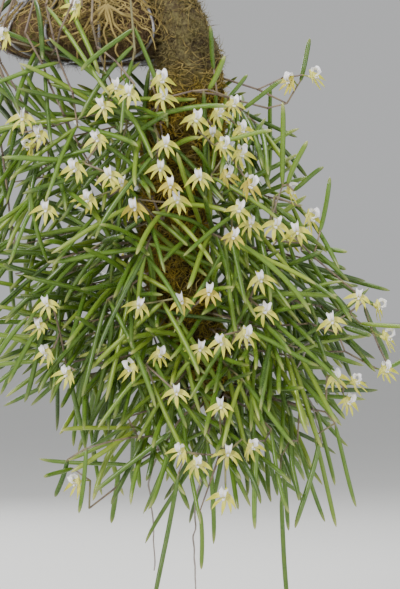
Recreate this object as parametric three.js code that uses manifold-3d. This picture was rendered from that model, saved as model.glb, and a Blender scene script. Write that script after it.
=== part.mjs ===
import * as THREE from 'three';
import { mergeVertices } from 'three/addons/utils/BufferGeometryUtils.js';
import Module from 'manifold-3d';

const wasm = await Module();
wasm.setup();
const { Manifold, Mesh: SolidMesh } = wasm;

// A streaked rock orchid that has grown over the side of its round hanging basket.
// Millimetres, +Z up, +X to the viewer's right and +Y away from the viewer.
// The origin is where the hanging ring bears on its hook, straight above the basket's axis.
// Heights are told as "down", the distance below the basket's rim.

// Basket sizes
const HANGER_HEIGHT = 240;
const RIM_RADIUS = 66;
const BELLY_RADIUS = 84;
const BELLY_DOWN = 28;
const BASE_RADIUS = 30;
const BASE_DOWN = 47;
const MOUND_RISE = 26;
const LINER_THICK = 6.4;
const LINER_LIP = 3;
const RIM_WIRE = 1.6;
const RIB_WIRE = 1.3;
const RIB_COUNT = 12;
const HANGER_WIRE = 1;
const HANGER_COUNT = 3;
const EYE_RADIUS = 3.6;
const RIM_EYE_RADIUS = 3.1;
const RING_RADIUS = 13;
const RING_WIRE = 2;
const SEAT_GAP = 0.3;

// Plant sizes
const LEAF_RADIUS = 1.9;
const LEAF_LENGTH = [58, 100];
const LEAVES_PER_STEM = 8;
const STEM_RADIUS = 1;
const PEG_RADIUS = 1.3;
const SPRAY_DROP = 22;
const COLLAR = 1.2;
const TWIG_RADIUS = 0.8;
const ROOT_RADIUS = 1.3;
const CROWN_STALK = 2.6;
const INTERNODE = 23;
const STEM_SHARE = 0.8;
const SHARPEST = 0;
const PEG_DEPTH = 8;
const CLEARANCE = 0.45;
const PLANT_Y = -20;
const DEEPEST = 105;
const DEPTH_SHARE = 0.44;
const SEED = 20417;

// The clump is seen from straight in front, from this far off and with this centre of view.
const VIEW_DISTANCE = 2400;
const VIEW_X = 78;
const VIEW_DOWN = 232;

// The clump's outline from the front: [down, leftmost x, rightmost x]
const OUTLINE = [
  [0, -100, 60], [21, -106, 70], [45, -110, 108], [77, -114, 150], [157, -118, 176], [197, -118, 196],
  [237, -118, 224], [269, -114, 238], [301, -104, 228], [333, -80, 200], [365, -48, 194],
  [397, -34, 186], [421, -6, 174], [453, 38, 150], [480, 70, 146],
];

// The hanging core of moss and old roots: [x, down, y, radius]
const CORE = [
  [37, -17, -37, 13], [53, -5, -53, 15], [64, 22, -63, 18], [70, 52, -56, 23], [68, 84, -46, 30],
  [64, 118, -38, 30], [58, 160, -30, 25], [58, 210, -26, 24], [72, 258, -24, 19], [88, 296, -22, 14],
  [97, 322, -20, 9],
];

// Leafy stems: [foot, end x, end down, end depth], with depth -1 at the front and 1 at the back.
// A foot is the core, or the angle in degrees at which the stem leaves the mound of moss.
const LEAFY_STEMS = [
  ['core', 124, 96, -0.35], ['core', 150, 158, -0.3], ['core', 166, 204, -0.5],
  ['core', 196, 246, -0.15], ['core', 186, 262, -0.6], ['core', 158, 282, -0.7],
  ['core', 172, 326, -0.3], ['core', 138, 338, -0.75], ['core', 112, 300, -0.95],
  ['core', 84, 346, -0.5], ['core', 56, 340, -0.85], ['core', 20, 330, -0.5],
  ['core', -14, 290, -0.4], ['core', 4, 236, -0.85], ['core', 34, 200, -1],
  ['core', 102, 190, -0.98], ['core', -30, 216, -0.3], ['core', 120, 150, 0.75],
  ['core', 164, 240, 0.6], ['core', 120, 312, 0.75], ['core', 46, 300, 0.8],
  ['core', 0, 240, 0.7], ['core', 60, 180, 0.95], [222, -58, 112, -0.5],
  [195, -74, 170, -0.1], [252, -20, 98, -0.9], [278, 14, 118, -0.8],
  [150, -44, 150, 0.6], [75, 30, 110, 0.9],
];

// Flower sprays: a foot, then each bloom as [x, down] with the turn to the right where it is known
const FLOWER_SPRAYS = [
  [235, [-78, 26], [-21, 3]],
  [268, [1, 82], [10, 67], [22, 71]],
  ['core', [46, 61], [48, 75], [50, 112], [46, 131]],
  [208, [-64, 91], [-50, 105], [-57, 114], [-45, 164]],
  [244, [-3, 108], [-21, 131], [6, 137], [16, 144], [-11, 156]],
  ['core', [74, 92], [92, 88], [88, 103], [104, 80], [111, 101], [96, 114]],
  ['core', [54, 145], [60, 157], [26, 162]],
  ['core', [78, 138], [99, 137], [110, 120], [117, 145]],
  ['core', [108, 165], [118, 176], [104, 186]],
  ['core', [150, 150, 75], [156, 182, 0], [166, 171, 60], [138, 177]],
  ['core', [150, 62, -60], [169, 58, 60]],
  ['core', [126, 220], [129, 246], [114, 264], [96, 270], [78, 276]],
  ['core', [85, 231, 0], [64, 238], [29, 241]],
  ['core', [-44, 240], [-50, 258], [-44, 279], [-28, 296]],
  ['core', [24, 292], [45, 280], [59, 311]],
  ['core', [184, 254, 10], [205, 235, 0], [220, 242, 75], [227, 267, 60], [226, 293, 20]],
  ['core', [186, 299], [202, 303], [196, 318]],
  ['core', [95, 322], [100, 360], [119, 354], [98, 394], [63, 358], [75, 368]],
  ['core', [-20, 383]],
  ['core', [110, 140, null, 1], [150, 190, null, 1], [80, 210, null, 1], [140, 250, null, 1]],
  ['core', [20, 200, null, 1], [-10, 260, null, 1], [60, 290, null, 1], [110, 300, null, 1]],
];

// Leaves that make the outline: [base x, base down, tip x, tip down]
const OUTLINE_LEAVES = [
  [158, 62, 166, 27], [89, 52, 86, 17], [85, 68, 98, 41], [110, 82, 122, 45], [101, 74, 116, 56],
  [112, 84, 144, 60], [118, 101, 148, 73], [144, 145, 144, 78], [139, 116, 110, 86],
  [93, 110, 136, 101], [148, 144, 164, 109], [153, 149, 177, 130], [147, 118, 174, 134],
  [174, 182, 182, 138], [123, 182, 163, 153], [159, 191, 196, 198], [159, 197, 195, 212],
  [141, 211, 176, 197], [164, 211, 230, 229], [206, 255, 243, 258], [193, 258, 215, 265],
  [229, 290, 243, 283], [174, 237, 204, 250], [156, 244, 192, 291], [95, 286, 126, 299],
  [134, 265, 150, 329], [186, 335, 203, 402], [170, 345, 187, 418], [156, 349, 178, 414],
  [174, 347, 154, 419], [150, 349, 157, 397], [130, 349, 140, 393], [143, 362, 149, 421],
  [143, 392, 149, 484], [124, 349, 122, 420], [78, 412, 130, 410], [78, 405, 79, 452],
  [61, 374, 40, 484], [28, 345, 30, 387], [43, 345, 35, 381], [13, 373, 7, 415],
  [-1, 369, 2, 418], [-4, 372, -9, 414], [-13, 355, -19, 407], [-24, 371, -47, 378],
  [-28, 364, -38, 394], [22, 213, -11, 222], [-31, 220, -80, 207], [26, 186, 43, 194],
  [43, 171, 68, 193], [-42, 133, -52, 156], [-60, 250, -98, 300], [-70, 200, -104, 244],
];

// Old roots over the basket's front: [x, down] along each root, from the root crown
const CROWN = [6, 9];
const CROWN_ROOTS = [
  [[12, 37], [13, 48], [20, 65]], [[30, 10], [42, 14]], [[38, 21], [45, 37]],
  [[-10, 18], [-19, 33], [-20, 44]], [[2, 30], [4, 48], [1, 62]], [[-20, 24], [-44, 30], [-66, 38]],
  [[20, 26], [27, 42]],
];

// Aerial roots that hang free below the core: [x, down, y]
const AERIAL_ROOTS = [
  [[100, 348, -24], [82, 366, -30], [74, 400, -30], [73, 440, -26], [75, 478, -26]],
  [[120, 300, -40], [163, 270, -52], [150, 298, -50], [166, 317, -48], [174, 350, -44]],
  [[84, 340, -10], [48, 352, -16], [37, 376, -20], [41, 420, -20], [42, 452, -18]],
];

// Vectors are plain [x, y, z] lists.
const add = (a, b) => [a[0] + b[0], a[1] + b[1], a[2] + b[2]];
const sub = (a, b) => [a[0] - b[0], a[1] - b[1], a[2] - b[2]];
const mul = (a, k) => [a[0] * k, a[1] * k, a[2] * k];
const dot = (a, b) => a[0] * b[0] + a[1] * b[1] + a[2] * b[2];
const cross = (a, b) => [
  a[1] * b[2] - a[2] * b[1], a[2] * b[0] - a[0] * b[2], a[0] * b[1] - a[1] * b[0],
];
const size = (a) => Math.sqrt(dot(a, a));
const unit = (a) => mul(a, 1 / size(a));
const mix = (a, b, t) => add(mul(a, 1 - t), mul(b, t));
const clamp = (v) => Math.min(1, Math.max(0, v));

// Draws in 0..1 that are the same on every machine
let drawState = SEED;
function draw() {
  drawState = (drawState * 1664525 + 1013904223) % 4294967296;
  return drawState / 4294967296;
}
const between = (low, high) => low + (high - low) * draw();
const anyWay = () => [between(-1, 1), between(-1, 1), between(-1, 1)];

const place = (x, down, y) => [x, y, -HANGER_HEIGHT - down];

// The point at depth y that the viewer sees at x and down on the plane through the basket's axis
function seen(x, down, y) {
  const near = (VIEW_DISTANCE + y) / VIEW_DISTANCE;
  return place(VIEW_X + (x - VIEW_X) * near, VIEW_DOWN + (down - VIEW_DOWN) * near, y);
}

// Leftmost and rightmost x of the clump at a height
function outlineAt(down) {
  let row = 1;
  while (row < OUTLINE.length - 1 && OUTLINE[row][0] < down) row += 1;
  const [d0, l0, r0] = OUTLINE[row - 1];
  const [d1, l1, r1] = OUTLINE[row];
  const t = clamp((down - d0) / (d1 - d0));
  return [l0 + (l1 - l0) * t, r0 + (r1 - r0) * t];
}

// How far the clump reaches to the front and back of its middle plane
function depthAt(x, down) {
  const [left, right] = outlineAt(down);
  const off = (2 * x - left - right) / (right - left);
  const round = Math.sqrt(Math.max(0.06, 1 - off * off));
  return Math.min(DEEPEST, DEPTH_SHARE * (right - left)) * round;
}

// The basket's outline with its mound of moss: radius at a height
function basketRadius(down) {
  if (down < -MOUND_RISE || down > BASE_DOWN) return 0;
  if (down < 0) return RIM_RADIUS * Math.sqrt(1 - (down / MOUND_RISE) ** 2);
  if (down < BELLY_DOWN) {
    return RIM_RADIUS + (BELLY_RADIUS - RIM_RADIUS) * Math.sin((Math.PI / 2) * (down / BELLY_DOWN));
  }
  const fall = (down - BELLY_DOWN) / (BASE_DOWN - BELLY_DOWN);
  return BASE_RADIUS + (BELLY_RADIUS - BASE_RADIUS) * Math.sqrt(1 - fall * fall);
}

// How far in front of the basket's axis something at x and down must be to pass the basket
function passingReach(x, down, room) {
  const low = Math.min(BELLY_DOWN, Math.max(0, down));
  if (down > BASE_DOWN + room) return 0;
  return Math.sqrt(Math.max(0, (basketRadius(low) + room) ** 2 - x * x));
}

// Least distance between two straight rods
function rodGap(p, q, a, b) {
  const d1 = sub(q, p);
  const d2 = sub(b, a);
  const r = sub(p, a);
  const l1 = dot(d1, d1);
  const l2 = dot(d2, d2);
  const f = dot(d2, r);
  const c = dot(d1, r);
  const k = dot(d1, d2);
  const flat = l1 * l2 - k * k;
  let s = flat > 1e-9 ? clamp((k * f - c * l2) / flat) : 0;
  const t = (k * s + f) / l2;
  if (t < 0) s = clamp(-c / l1);
  if (t > 1) s = clamp((k - c) / l1);
  return size(sub(add(p, mul(d1, s)), add(a, mul(d2, clamp(t)))));
}

// All that is placed so far, as rods: { owner, a, b, radius }
const rods = [];
const SOLID = 'basket and core';

function putRods(owner, points, radius) {
  for (let i = 1; i < points.length; i += 1) {
    rods.push({ owner, a: points[i - 1], b: points[i], radius });
  }
}

function clearsBasket(p, q, radius) {
  for (let i = 0; i <= 6; i += 1) {
    const m = mix(p, q, i / 6);
    const down = -HANGER_HEIGHT - m[2];
    const grown = Math.min(BASE_DOWN, Math.max(-MOUND_RISE, down));
    const over = Math.abs(down - grown);
    const reach = radius + RIM_WIRE + 1;
    if (over < reach && Math.hypot(m[0], m[1]) < basketRadius(grown) + reach) return false;
  }
  return true;
}

// True when a chain of points clears every rod of another owner, and the basket
function isClear(owner, points, radius, fromMound = false) {
  for (let i = 1; i < points.length; i += 1) {
    const p = points[i - 1];
    const q = points[i];
    if (!(fromMound && i === 1) && !clearsBasket(p, q, radius)) return false;
    for (const rod of rods) {
      if (rod.owner === owner) continue;
      if (rodGap(p, q, rod.a, rod.b) < radius + rod.radius + CLEARANCE) return false;
    }
  }
  return true;
}

// The core's stations, with even steps between the listed ones
const CORE_STEPS = 4;
const coreStations = [CORE[0]];
for (let i = 1; i < CORE.length; i += 1) {
  for (let k = 1; k <= CORE_STEPS; k += 1) {
    coreStations.push(CORE[i].map((v, n) => CORE[i - 1][n] + (v - CORE[i - 1][n]) * (k / CORE_STEPS)));
  }
}

// The foot of a stem: a peg that stands in a hole in the core or in the mound of moss
function coreFoot(target, sway) {
  let best = null;
  for (const [x, down, y, radius] of coreStations.slice(2 * CORE_STEPS + 1)) {
    const axis = place(x, down, y);
    const away = sub(target, axis);
    const score = size(away) + 0.5 * Math.abs(target[2] - axis[2] + 25) + sway * draw();
    if (!best || score < best.score) best = { score, axis, radius };
  }
  const { axis, radius } = best;
  const way = unit(sub(target, axis));
  const out = unit([way[0] + between(-0.35, 0.35), way[1] + between(-0.35, 0.35), 0.3 * way[2]]);
  return { at: add(axis, mul(out, radius)), out, via: [] };
}

function moundFoot(angle, target, sway) {
  const turn = ((angle + between(-sway, sway)) * Math.PI) / 180;
  const spoke = (radius, rise) => [
    radius * Math.cos(turn), radius * Math.sin(turn), rise - HANGER_HEIGHT,
  ];
  const radius = between(34, 48);
  const rise = MOUND_RISE * Math.sqrt(1 - (radius / RIM_RADIUS) ** 2);
  const over = spoke(between(78, 84), between(12, 17));
  const past = spoke(between(94, 94 + sway), -between(6, Math.min(50, 0.4 * (-HANGER_HEIGHT - target[2]))));
  return { at: spoke(radius, rise), out: unit([Math.cos(turn), Math.sin(turn), 1.1]), via: [over, past] };
}

// A stem system that grows from one foot. Each joint keeps the ways in which something leaves it.
function startTree(name, foot) {
  const inner = sub(foot.at, mul(foot.out, PEG_DEPTH));
  const outer = add(foot.at, mul(foot.out, 3.5));
  const joint = { at: outer, ahead: foot.out, sprouts: [] };
  return { name, peg: [inner, outer], joints: [joint], runs: [], leaves: [], blooms: [] };
}

// Whether something may leave a joint that way: clear of the stem and of what leaves it already
function mayLeave(joint, way) {
  const along = dot(way, joint.ahead);
  if (Math.abs(along) > STEM_SHARE) return false;
  const side = unit(sub(way, mul(joint.ahead, along)));
  return joint.sprouts.every((other) => dot(side, other) < 0.17);
}

function noteSprout(joint, way) {
  joint.sprouts.push(unit(sub(way, mul(joint.ahead, dot(way, joint.ahead)))));
}

// A kinked line from one point to another
function kinked(from, to, spread) {
  const count = Math.max(1, Math.round(size(sub(to, from)) / INTERNODE));
  const points = [from];
  for (let i = 1; i < count; i += 1) {
    points.push(add(mix(from, to, i / count), mul(anyWay(), spread)));
  }
  points.push(to);
  return points;
}

function turnsGently(points, firstWay) {
  let way = firstWay;
  for (let i = 1; i < points.length; i += 1) {
    const next = unit(sub(points[i], points[i - 1]));
    if (way && dot(way, next) < SHARPEST) return false;
    way = next;
  }
  return true;
}

// Adds a run of stem from a joint of the tree
function keepRun(tree, from, points, radius, bloom = null) {
  const joints = points.slice(1).map((at, i) => {
    const before = unit(sub(at, points[i]));
    const after = i + 2 < points.length ? unit(sub(points[i + 2], at)) : before;
    return { at, ahead: unit(add(before, after)), sprouts: [] };
  });
  if (tree.runs.length) noteSprout(from, unit(sub(points[1], points[0])));
  tree.runs.push({ from, joints, radius, bloom });
  tree.joints.push(...(bloom ? joints.slice(0, -1) : joints));
  putRods(tree.name, points, radius);
}

// The rest of a line after a first short stretch
function pastStart(points, stretch) {
  const first = sub(points[1], points[0]);
  const start = add(points[0], mul(first, Math.min(0.9, stretch / size(first))));
  return [start, ...points.slice(1)];
}

// Foot, peg and main stem towards a target, moved until it clears what is there
function plant(name, footKind, target, radius) {
  for (let attempt = 0; attempt < 600; attempt += 1) {
    const goal = add(target, mul(anyWay(), 0.05 * attempt));
    const foot = footKind === 'core'
      ? coreFoot(goal, 0.5 * attempt)
      : moundFoot(footKind, goal, 10 + 0.1 * attempt);
    const tree = startTree(name, foot);
    const outer = tree.peg[1];
    const start = foot.via.length ? foot.via[foot.via.length - 1] : outer;
    const points = [outer, ...foot.via.slice(0, -1), ...kinked(start, goal, 3 + 0.03 * attempt)];
    if (!foot.via.length) points.shift();
    if (!turnsGently(points, foot.out)) continue;
    const pegTip = add(outer, mul(foot.out, 1));
    const apart = rods.every((rod) => rod.owner === SOLID
      || rodGap(tree.peg[0], pegTip, rod.a, rod.b) > radius + rod.radius + 3 * CLEARANCE);
    if (!apart || !isClear(name, pastStart(points, 1.5), radius, foot.via.length > 0)) continue;
    putRods(name, tree.peg, radius);
    keepRun(tree, tree.joints[0], points, radius);
    return tree;
  }
  throw new Error(`no way out for ${name}`);
}

function nearestJoint(tree, point) {
  const reach = (joint) => size(sub(joint.at, point));
  return tree.joints.reduce((best, joint) => (reach(joint) < reach(best) ? joint : best));
}

// A line from the best joint of a tree to a point, or null
function branchTo(tree, point, limit) {
  const near = [...tree.joints].sort((m, n) => size(sub(m.at, point)) - size(sub(n.at, point)));
  for (let attempt = 0; attempt < limit; attempt += 1) {
    const from = near[Math.min(near.length - 1, Math.floor(attempt / 3))];
    const points = kinked(from.at, point, 2 + 0.3 * attempt);
    if (from === tree.joints[0] || !mayLeave(from, unit(sub(points[1], points[0])))) continue;
    if (!turnsGently(points, null)) continue;
    if (!isClear(tree.name, points, TWIG_RADIUS)) continue;
    if (isClear(null, pastStart(points, 5), TWIG_RADIUS)) return { from, points };
  }
  return null;
}

// A leaf is a bowed taper: its points at these shares of its length
const LEAF_SHARES = [0, 0.1, 0.84, 1];

function leafLine(base, tip, bow) {
  const middle = add(mix(base, tip, 0.5), bow);
  return LEAF_SHARES.map((t) => mix(mix(base, middle, t), mix(middle, tip, t), t));
}

function leafFits(tree, joint, tip, bow) {
  const line = leafLine(joint.at, tip, bow);
  return mayLeave(joint, unit(sub(line[1], line[0]))) && isClear(tree.name, line, LEAF_RADIUS)
    && isClear(null, pastStart(line, 6), LEAF_RADIUS);
}

function keepLeaf(tree, joint, tip, bow) {
  const line = leafLine(joint.at, tip, bow);
  noteSprout(joint, unit(sub(line[1], line[0])));
  tree.leaves.push({ joint, tip, bow });
  putRods(tree.name, line, LEAF_RADIUS);
}

// A leaf seen at a known place, on the stem that is nearest to its base from the front
function outlineLeaf(trees, [baseX, baseDown, tipX, tipDown]) {
  let best = null;
  for (const tree of trees) {
    for (const { at } of tree.joints.slice(1)) {
      const [x, , z] = seen(baseX, baseDown, at[1]);
      const off = Math.hypot(at[0] - x, at[2] - z) + 0.1 * Math.max(0, at[1] - PLANT_Y);
      if (!best || off < best.off) best = { off, tree, y: at[1] };
    }
  }
  for (let attempt = 0; attempt < 160; attempt += 1) {
    const y = best.y + between(-0.25, 0.25) * attempt;
    const base = seen(baseX, baseDown, y);
    const tip = seen(tipX, tipDown, y + between(-22, 14));
    const bow = mul(anyWay(), 0.05 * size(sub(tip, base)));
    const line = leafLine(base, tip, bow);
    if (!isClear(null, pastStart(line, 6), LEAF_RADIUS)) continue;
    const twig = branchTo(best.tree, base, 12);
    if (!twig) continue;
    const last = twig.points[twig.points.length - 1];
    const arrive = unit(sub(last, twig.points[twig.points.length - 2]));
    const leave = unit(sub(line[1], line[0]));
    if (dot(arrive, leave) < 0.3) continue;
    keepRun(best.tree, twig.from, twig.points, TWIG_RADIUS);
    const end = best.tree.joints[best.tree.joints.length - 1];
    best.tree.leaves.push({ joint: end, tip, bow, terminal: true });
    putRods(best.tree.name, line, LEAF_RADIUS);
    return;
  }
}

// A leaf that the growth rule places: outward near the top of the clump, hanging lower down
function grownLeaf(tree) {
  for (let attempt = 0; attempt < 60; attempt += 1) {
    const count = tree.joints.length;
    const joint = tree.joints[Math.min(count - 1, 1 + Math.floor(draw() * (count - 1)))];
    const base = joint.at;
    const down = -HANGER_HEIGHT - base[2];
    const [left, right] = outlineAt(down);
    const out = [(base[0] - (left + right) / 2) / 90, (base[1] - PLANT_Y) / 70, 0];
    const hang = -0.25 - 0.9 * clamp((down - 90) / 260);
    const way = unit(add(add(mul(out, 0.9), [0, 0, hang]), mul(anyWay(), 0.85)));
    const length = between(LEAF_LENGTH[0], LEAF_LENGTH[1]);
    const tip = add(base, mul(way, length));
    const tipDown = -HANGER_HEIGHT - tip[2];
    const [tipLeft, tipRight] = outlineAt(tipDown);
    const inside = tip[0] > tipLeft && tip[0] < tipRight && tipDown < OUTLINE[OUTLINE.length - 1][0]
      && tipDown > 20 && Math.abs(tip[1] - PLANT_Y) < depthAt(tip[0], tipDown) + 6;
    if (!inside) continue;
    const bow = add(mul(anyWay(), 0.04 * length), [0, 0, 0.05 * length]);
    if (!leafFits(tree, joint, tip, bow)) continue;
    keepLeaf(tree, joint, tip, bow);
    return;
  }
}

// A bloom's parts from its centre as [side, forward, up], in turn round the hub
const TEPALS = [[-6.8, 7, -8.8], [0, 5.5, -11], [6.8, 7, -8.8], [11.5, 6.5, -3.5]];
const CHIN = [0, -3, 6.5];
const LEFT_TEPAL = [-11.5, 6.5, -3.5];
const SPIKES = [...TEPALS, CHIN, LEFT_TEPAL];
const LIP_BEND = [0, 5.2, 2.6];
const LIP_TIP = [0, 4.6, 8];
const PEDICEL_FOOT = [0, -4.5, 1];

function bloomPoint(bloom, [side, forward, up]) {
  const { centre, ahead, right, above, scale } = bloom;
  const flat = add(mul(right, side * scale), mul(ahead, forward * scale));
  return add(centre, add(flat, mul(above, up * scale)));
}

function makeBloom(centre, turn, nod, scale) {
  const ahead = [Math.sin(turn) * Math.cos(nod), -Math.cos(turn) * Math.cos(nod), -Math.sin(nod)];
  const right = [Math.cos(turn), Math.sin(turn), 0];
  return { centre, ahead, right, above: cross(ahead, right), scale };
}

// The stretches of a bloom that must clear its neighbours: [points, radius]
function bloomRods(bloom) {
  const to = (p) => bloomPoint(bloom, p);
  const spread = SPIKES.map((tip) => [[bloom.centre, to(tip)], 1.8]);
  return [...spread, [[bloom.centre, to(LIP_BEND), to(LIP_TIP)], 2.7]];
}

// A bloom seen at a known place, with its pedicel and the twig that carries it
function placeBloom(tree, [x, down, turnDegrees, back]) {
  const [left, right] = outlineAt(down);
  const off = (2 * x - left - right) / (right - left);
  const side = back ? 1 : -1;
  for (let attempt = 0; attempt < 150; attempt += 1) {
    const share = between(0.72, 0.98) - 0.002 * attempt;
    const deep = PLANT_Y + side * depthAt(x, down) * share;
    const y = back ? deep : Math.min(deep, -passingReach(x, down, 28) + 0.2 * attempt * between(-1, 0.1));
    const loose = turnDegrees === undefined || turnDegrees === null;
    const facing = (loose ? 55 * off + between(-30, 30) : turnDegrees + between(-8, 8)) * (Math.PI / 180);
    const turn = back ? Math.PI - facing : facing;
    const bloom = makeBloom(seen(x, down, y), turn, between(-0.1, 0.35), between(0.88, 1.05));
    const foot = bloomPoint(bloom, PEDICEL_FOOT);
    const joint = bloomPoint(bloom, [between(-3, 3), between(-13, -10), between(-4, 6)]);
    const stretches = bloomRods(bloom);
    if (!stretches.every(([points, radius]) => isClear(null, points, radius))) continue;
    const twig = branchTo(tree, joint, 24);
    if (!twig) continue;
    const line = [...twig.points, foot];
    if (!turnsGently(line, null) || !isClear(null, [joint, foot], TWIG_RADIUS)) continue;
    const meets = stretches.some(([points, radius]) => twig.points.some((at, i) => i > 0
      && rodGap(twig.points[i - 1], at, points[0], points[1]) < radius + TWIG_RADIUS + 0.3));
    if (meets) continue;
    keepRun(tree, twig.from, line, TWIG_RADIUS, bloom);
    tree.blooms.push(bloom);
    for (const [points, radius] of stretches) putRods(tree.name, points, radius);
    return true;
  }
  return false;
}

// The whole plant, in the order in which it takes its room
function layOutPlant() {
  for (let i = 1; i < coreStations.length; i += 1) {
    const [x0, d0, y0, r0] = coreStations[i - 1];
    const [x1, d1, y1, r1] = coreStations[i];
    putRods(SOLID, [place(x0, d0, y0), place(x1, d1, y1)], Math.max(r0, r1));
  }
  for (const line of hangerLines()) putRods(SOLID, line, EYE_RADIUS);
  const crown = layOutCrown();
  const aerial = layOutAerial();
  const sprays = FLOWER_SPRAYS.map(([foot, ...blooms], n) => {
    const [x, down] = [0, 1].map((k) => blooms.reduce((sum, bloom) => sum + bloom[k], 0) / blooms.length);
    const depth = depthAt(x, down) * (blooms[0][3] ? 0.55 : -0.55);
    const middle = seen(x, down + SPRAY_DROP, PLANT_Y + depth);
    const goal = mix(middle, place(60, down, PLANT_Y), 0.12);
    return plant(`flower_spray_${n + 1}`, foot, goal, STEM_RADIUS);
  });
  FLOWER_SPRAYS.forEach(([, ...blooms], n) => {
    for (const bloom of blooms) {
      const goal = seen(bloom[0], bloom[1], PLANT_Y);
      const reach = (tree) => (tree === sprays[n] ? 0 : size(sub(nearestJoint(tree, goal).at, goal)));
      const homes = [...sprays].sort((a, b) => reach(a) - reach(b)).slice(0, 4);
      if (!homes.some((tree) => placeBloom(tree, bloom))) {
        throw new Error(`no room for the bloom at ${bloom[0]}, ${bloom[1]}`);
      }
    }
  });
  const stems = LEAFY_STEMS.map(([foot, x, down, depth], n) => {
    const goal = seen(x, down, PLANT_Y + depth * depthAt(x, down) * 0.72);
    return plant(`leafy_stem_${n + 1}`, foot, goal, STEM_RADIUS);
  });
  for (const leaf of OUTLINE_LEAVES) outlineLeaf([...stems, ...sprays], leaf);
  for (let k = 0; k < LEAVES_PER_STEM; k += 1) stems.forEach(grownLeaf);
  return { crown, aerial, sprays, stems };
}

// Old roots: a knot in front of the rim that is joined to the mound, with roots that hang from it
function layOutCrown() {
  const [x, down] = CROWN;
  const out = unit([0, -1, 1]);
  const at = place(x, -19, -42);
  const peg = [sub(at, mul(out, PEG_DEPTH)), add(at, mul(out, 3.5))];
  const knot = place(x, down, -90);
  const stalk = [peg[1], place(x + 2, -19, -68), place(x, -10, -84), knot];
  const lines = [{ points: stalk, radius: CROWN_STALK }];
  for (const path of CROWN_ROOTS) {
    const points = path.map(([px, pd]) => seen(px, pd, -passingReach(px, Math.min(pd, BELLY_DOWN), 5)));
    lines.push({ points: [knot, ...points], radius: ROOT_RADIUS });
  }
  return rootTree('crown_roots', peg, CROWN_STALK, lines);
}

function layOutAerial() {
  const [x, down, y, radius] = CORE[CORE.length - 1];
  const at = place(x, down + radius, y);
  const peg = [add(at, [0, 0, PEG_DEPTH]), add(at, [0, 0, -3.5])];
  const lines = AERIAL_ROOTS.map((path) => ({
    points: [peg[1], ...path.map((point) => place(...point))], radius: 0.75 * ROOT_RADIUS,
  }));
  return rootTree('aerial_roots', peg, STEM_RADIUS + 0.3, lines);
}

function rootTree(name, peg, pegRadius, lines) {
  const all = [{ points: peg, radius: pegRadius }, ...lines];
  for (const { points, radius } of all) putRods(name, points, radius);
  return { name, peg, lines: all };
}

// From the ring's foot to the rim, one line for each hanger wire
function hangerLines() {
  return Array.from({ length: HANGER_COUNT }, (_, n) => {
    const turn = ((n + 0.5 * (HANGER_COUNT / RIB_COUNT)) * 2 * Math.PI) / HANGER_COUNT;
    const rim = [RIM_RADIUS * Math.cos(turn), RIM_RADIUS * Math.sin(turn), RIM_EYE_LIFT - HANGER_HEIGHT];
    return [ringPoint(n), rim];
  });
}

// The ring stands in the plane of the view; the wires hang side by side at its foot.
const RING_EYE_TURN = 24;
const RING_SLOTS = [1, -1, 0];
const RING_EYE_DROP = EYE_RADIUS - HANGER_WIRE - RING_WIRE - SEAT_GAP;
const RIM_EYE_LIFT = RIM_EYE_RADIUS - HANGER_WIRE - RIM_WIRE - SEAT_GAP;
const ringCentre = [0, 0, -RING_RADIUS + RING_WIRE];
function ringPoint(n) {
  const turn = (-90 + RING_SLOTS[n] * RING_EYE_TURN) * (Math.PI / 180);
  const reach = RING_RADIUS + RING_EYE_DROP;
  return [reach * Math.cos(turn), 0, ringCentre[2] + reach * Math.sin(turn)];
}

// Solids
function solidOf(geometry) {
  const bare = geometry.index ? geometry.clone() : geometry;
  bare.deleteAttribute('normal');
  bare.deleteAttribute('uv');
  const merged = mergeVertices(bare, 1e-4);
  return new Manifold(new SolidMesh({
    numProp: 3,
    vertProperties: new Float32Array(merged.attributes.position.array),
    triVerts: new Uint32Array(merged.index.array),
  }));
}

function geometryOf(solid) {
  const mesh = solid.getMesh();
  const geometry = new THREE.BufferGeometry();
  geometry.setAttribute('position', new THREE.BufferAttribute(mesh.vertProperties, 3));
  geometry.setIndex(new THREE.BufferAttribute(mesh.triVerts, 1));
  return geometry;
}

function indexed(points, faces) {
  const geometry = new THREE.BufferGeometry();
  geometry.setAttribute('position', new THREE.Float32BufferAttribute(points.flat(), 3));
  geometry.setIndex(faces.flat());
  return geometry;
}

// A tube of straight-sided stretches through points, with a radius at each; a radius of 0 is a tip
function tube(points, radii, sides) {
  const ways = points.map((p, i) => unit(sub(points[Math.min(i + 1, points.length - 1)],
    points[Math.max(i - 1, 0)])));
  const start = Math.abs(ways[0][2]) < 0.9 ? [0, 0, 1] : [1, 0, 0];
  let across = unit(cross(ways[0], start));
  const vertices = [];
  points.forEach((point, i) => {
    across = unit(sub(across, mul(ways[i], dot(across, ways[i]))));
    const upward = cross(ways[i], across);
    const ring = radii[i] > 0 ? sides : 1;
    for (let k = 0; k < ring; k += 1) {
      const turn = (k * 2 * Math.PI) / sides;
      const spoke = add(mul(across, Math.cos(turn)), mul(upward, Math.sin(turn)));
      vertices.push(add(point, mul(spoke, radii[i])));
    }
  });
  const faces = [];
  const last = points.length - 1;
  for (let k = 1; k < sides - 1; k += 1) faces.push([0, k + 1, k]);
  for (let i = 0; i < last; i += 1) {
    for (let k = 0; k < sides; k += 1) {
      const a = i * sides + k;
      const b = i * sides + ((k + 1) % sides);
      if (radii[i + 1] > 0) faces.push([a, b, b + sides], [a, b + sides, a + sides]);
      else faces.push([a, b, (i + 1) * sides]);
    }
  }
  if (radii[last] > 0) {
    const first = last * sides;
    for (let k = 1; k < sides - 1; k += 1) faces.push([first, first + k, first + k + 1]);
  }
  return indexed(vertices, faces);
}

// A skin grows ring by ring. A ring's vertices run right-handed about the way ahead.
const SIDES = 4;

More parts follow.
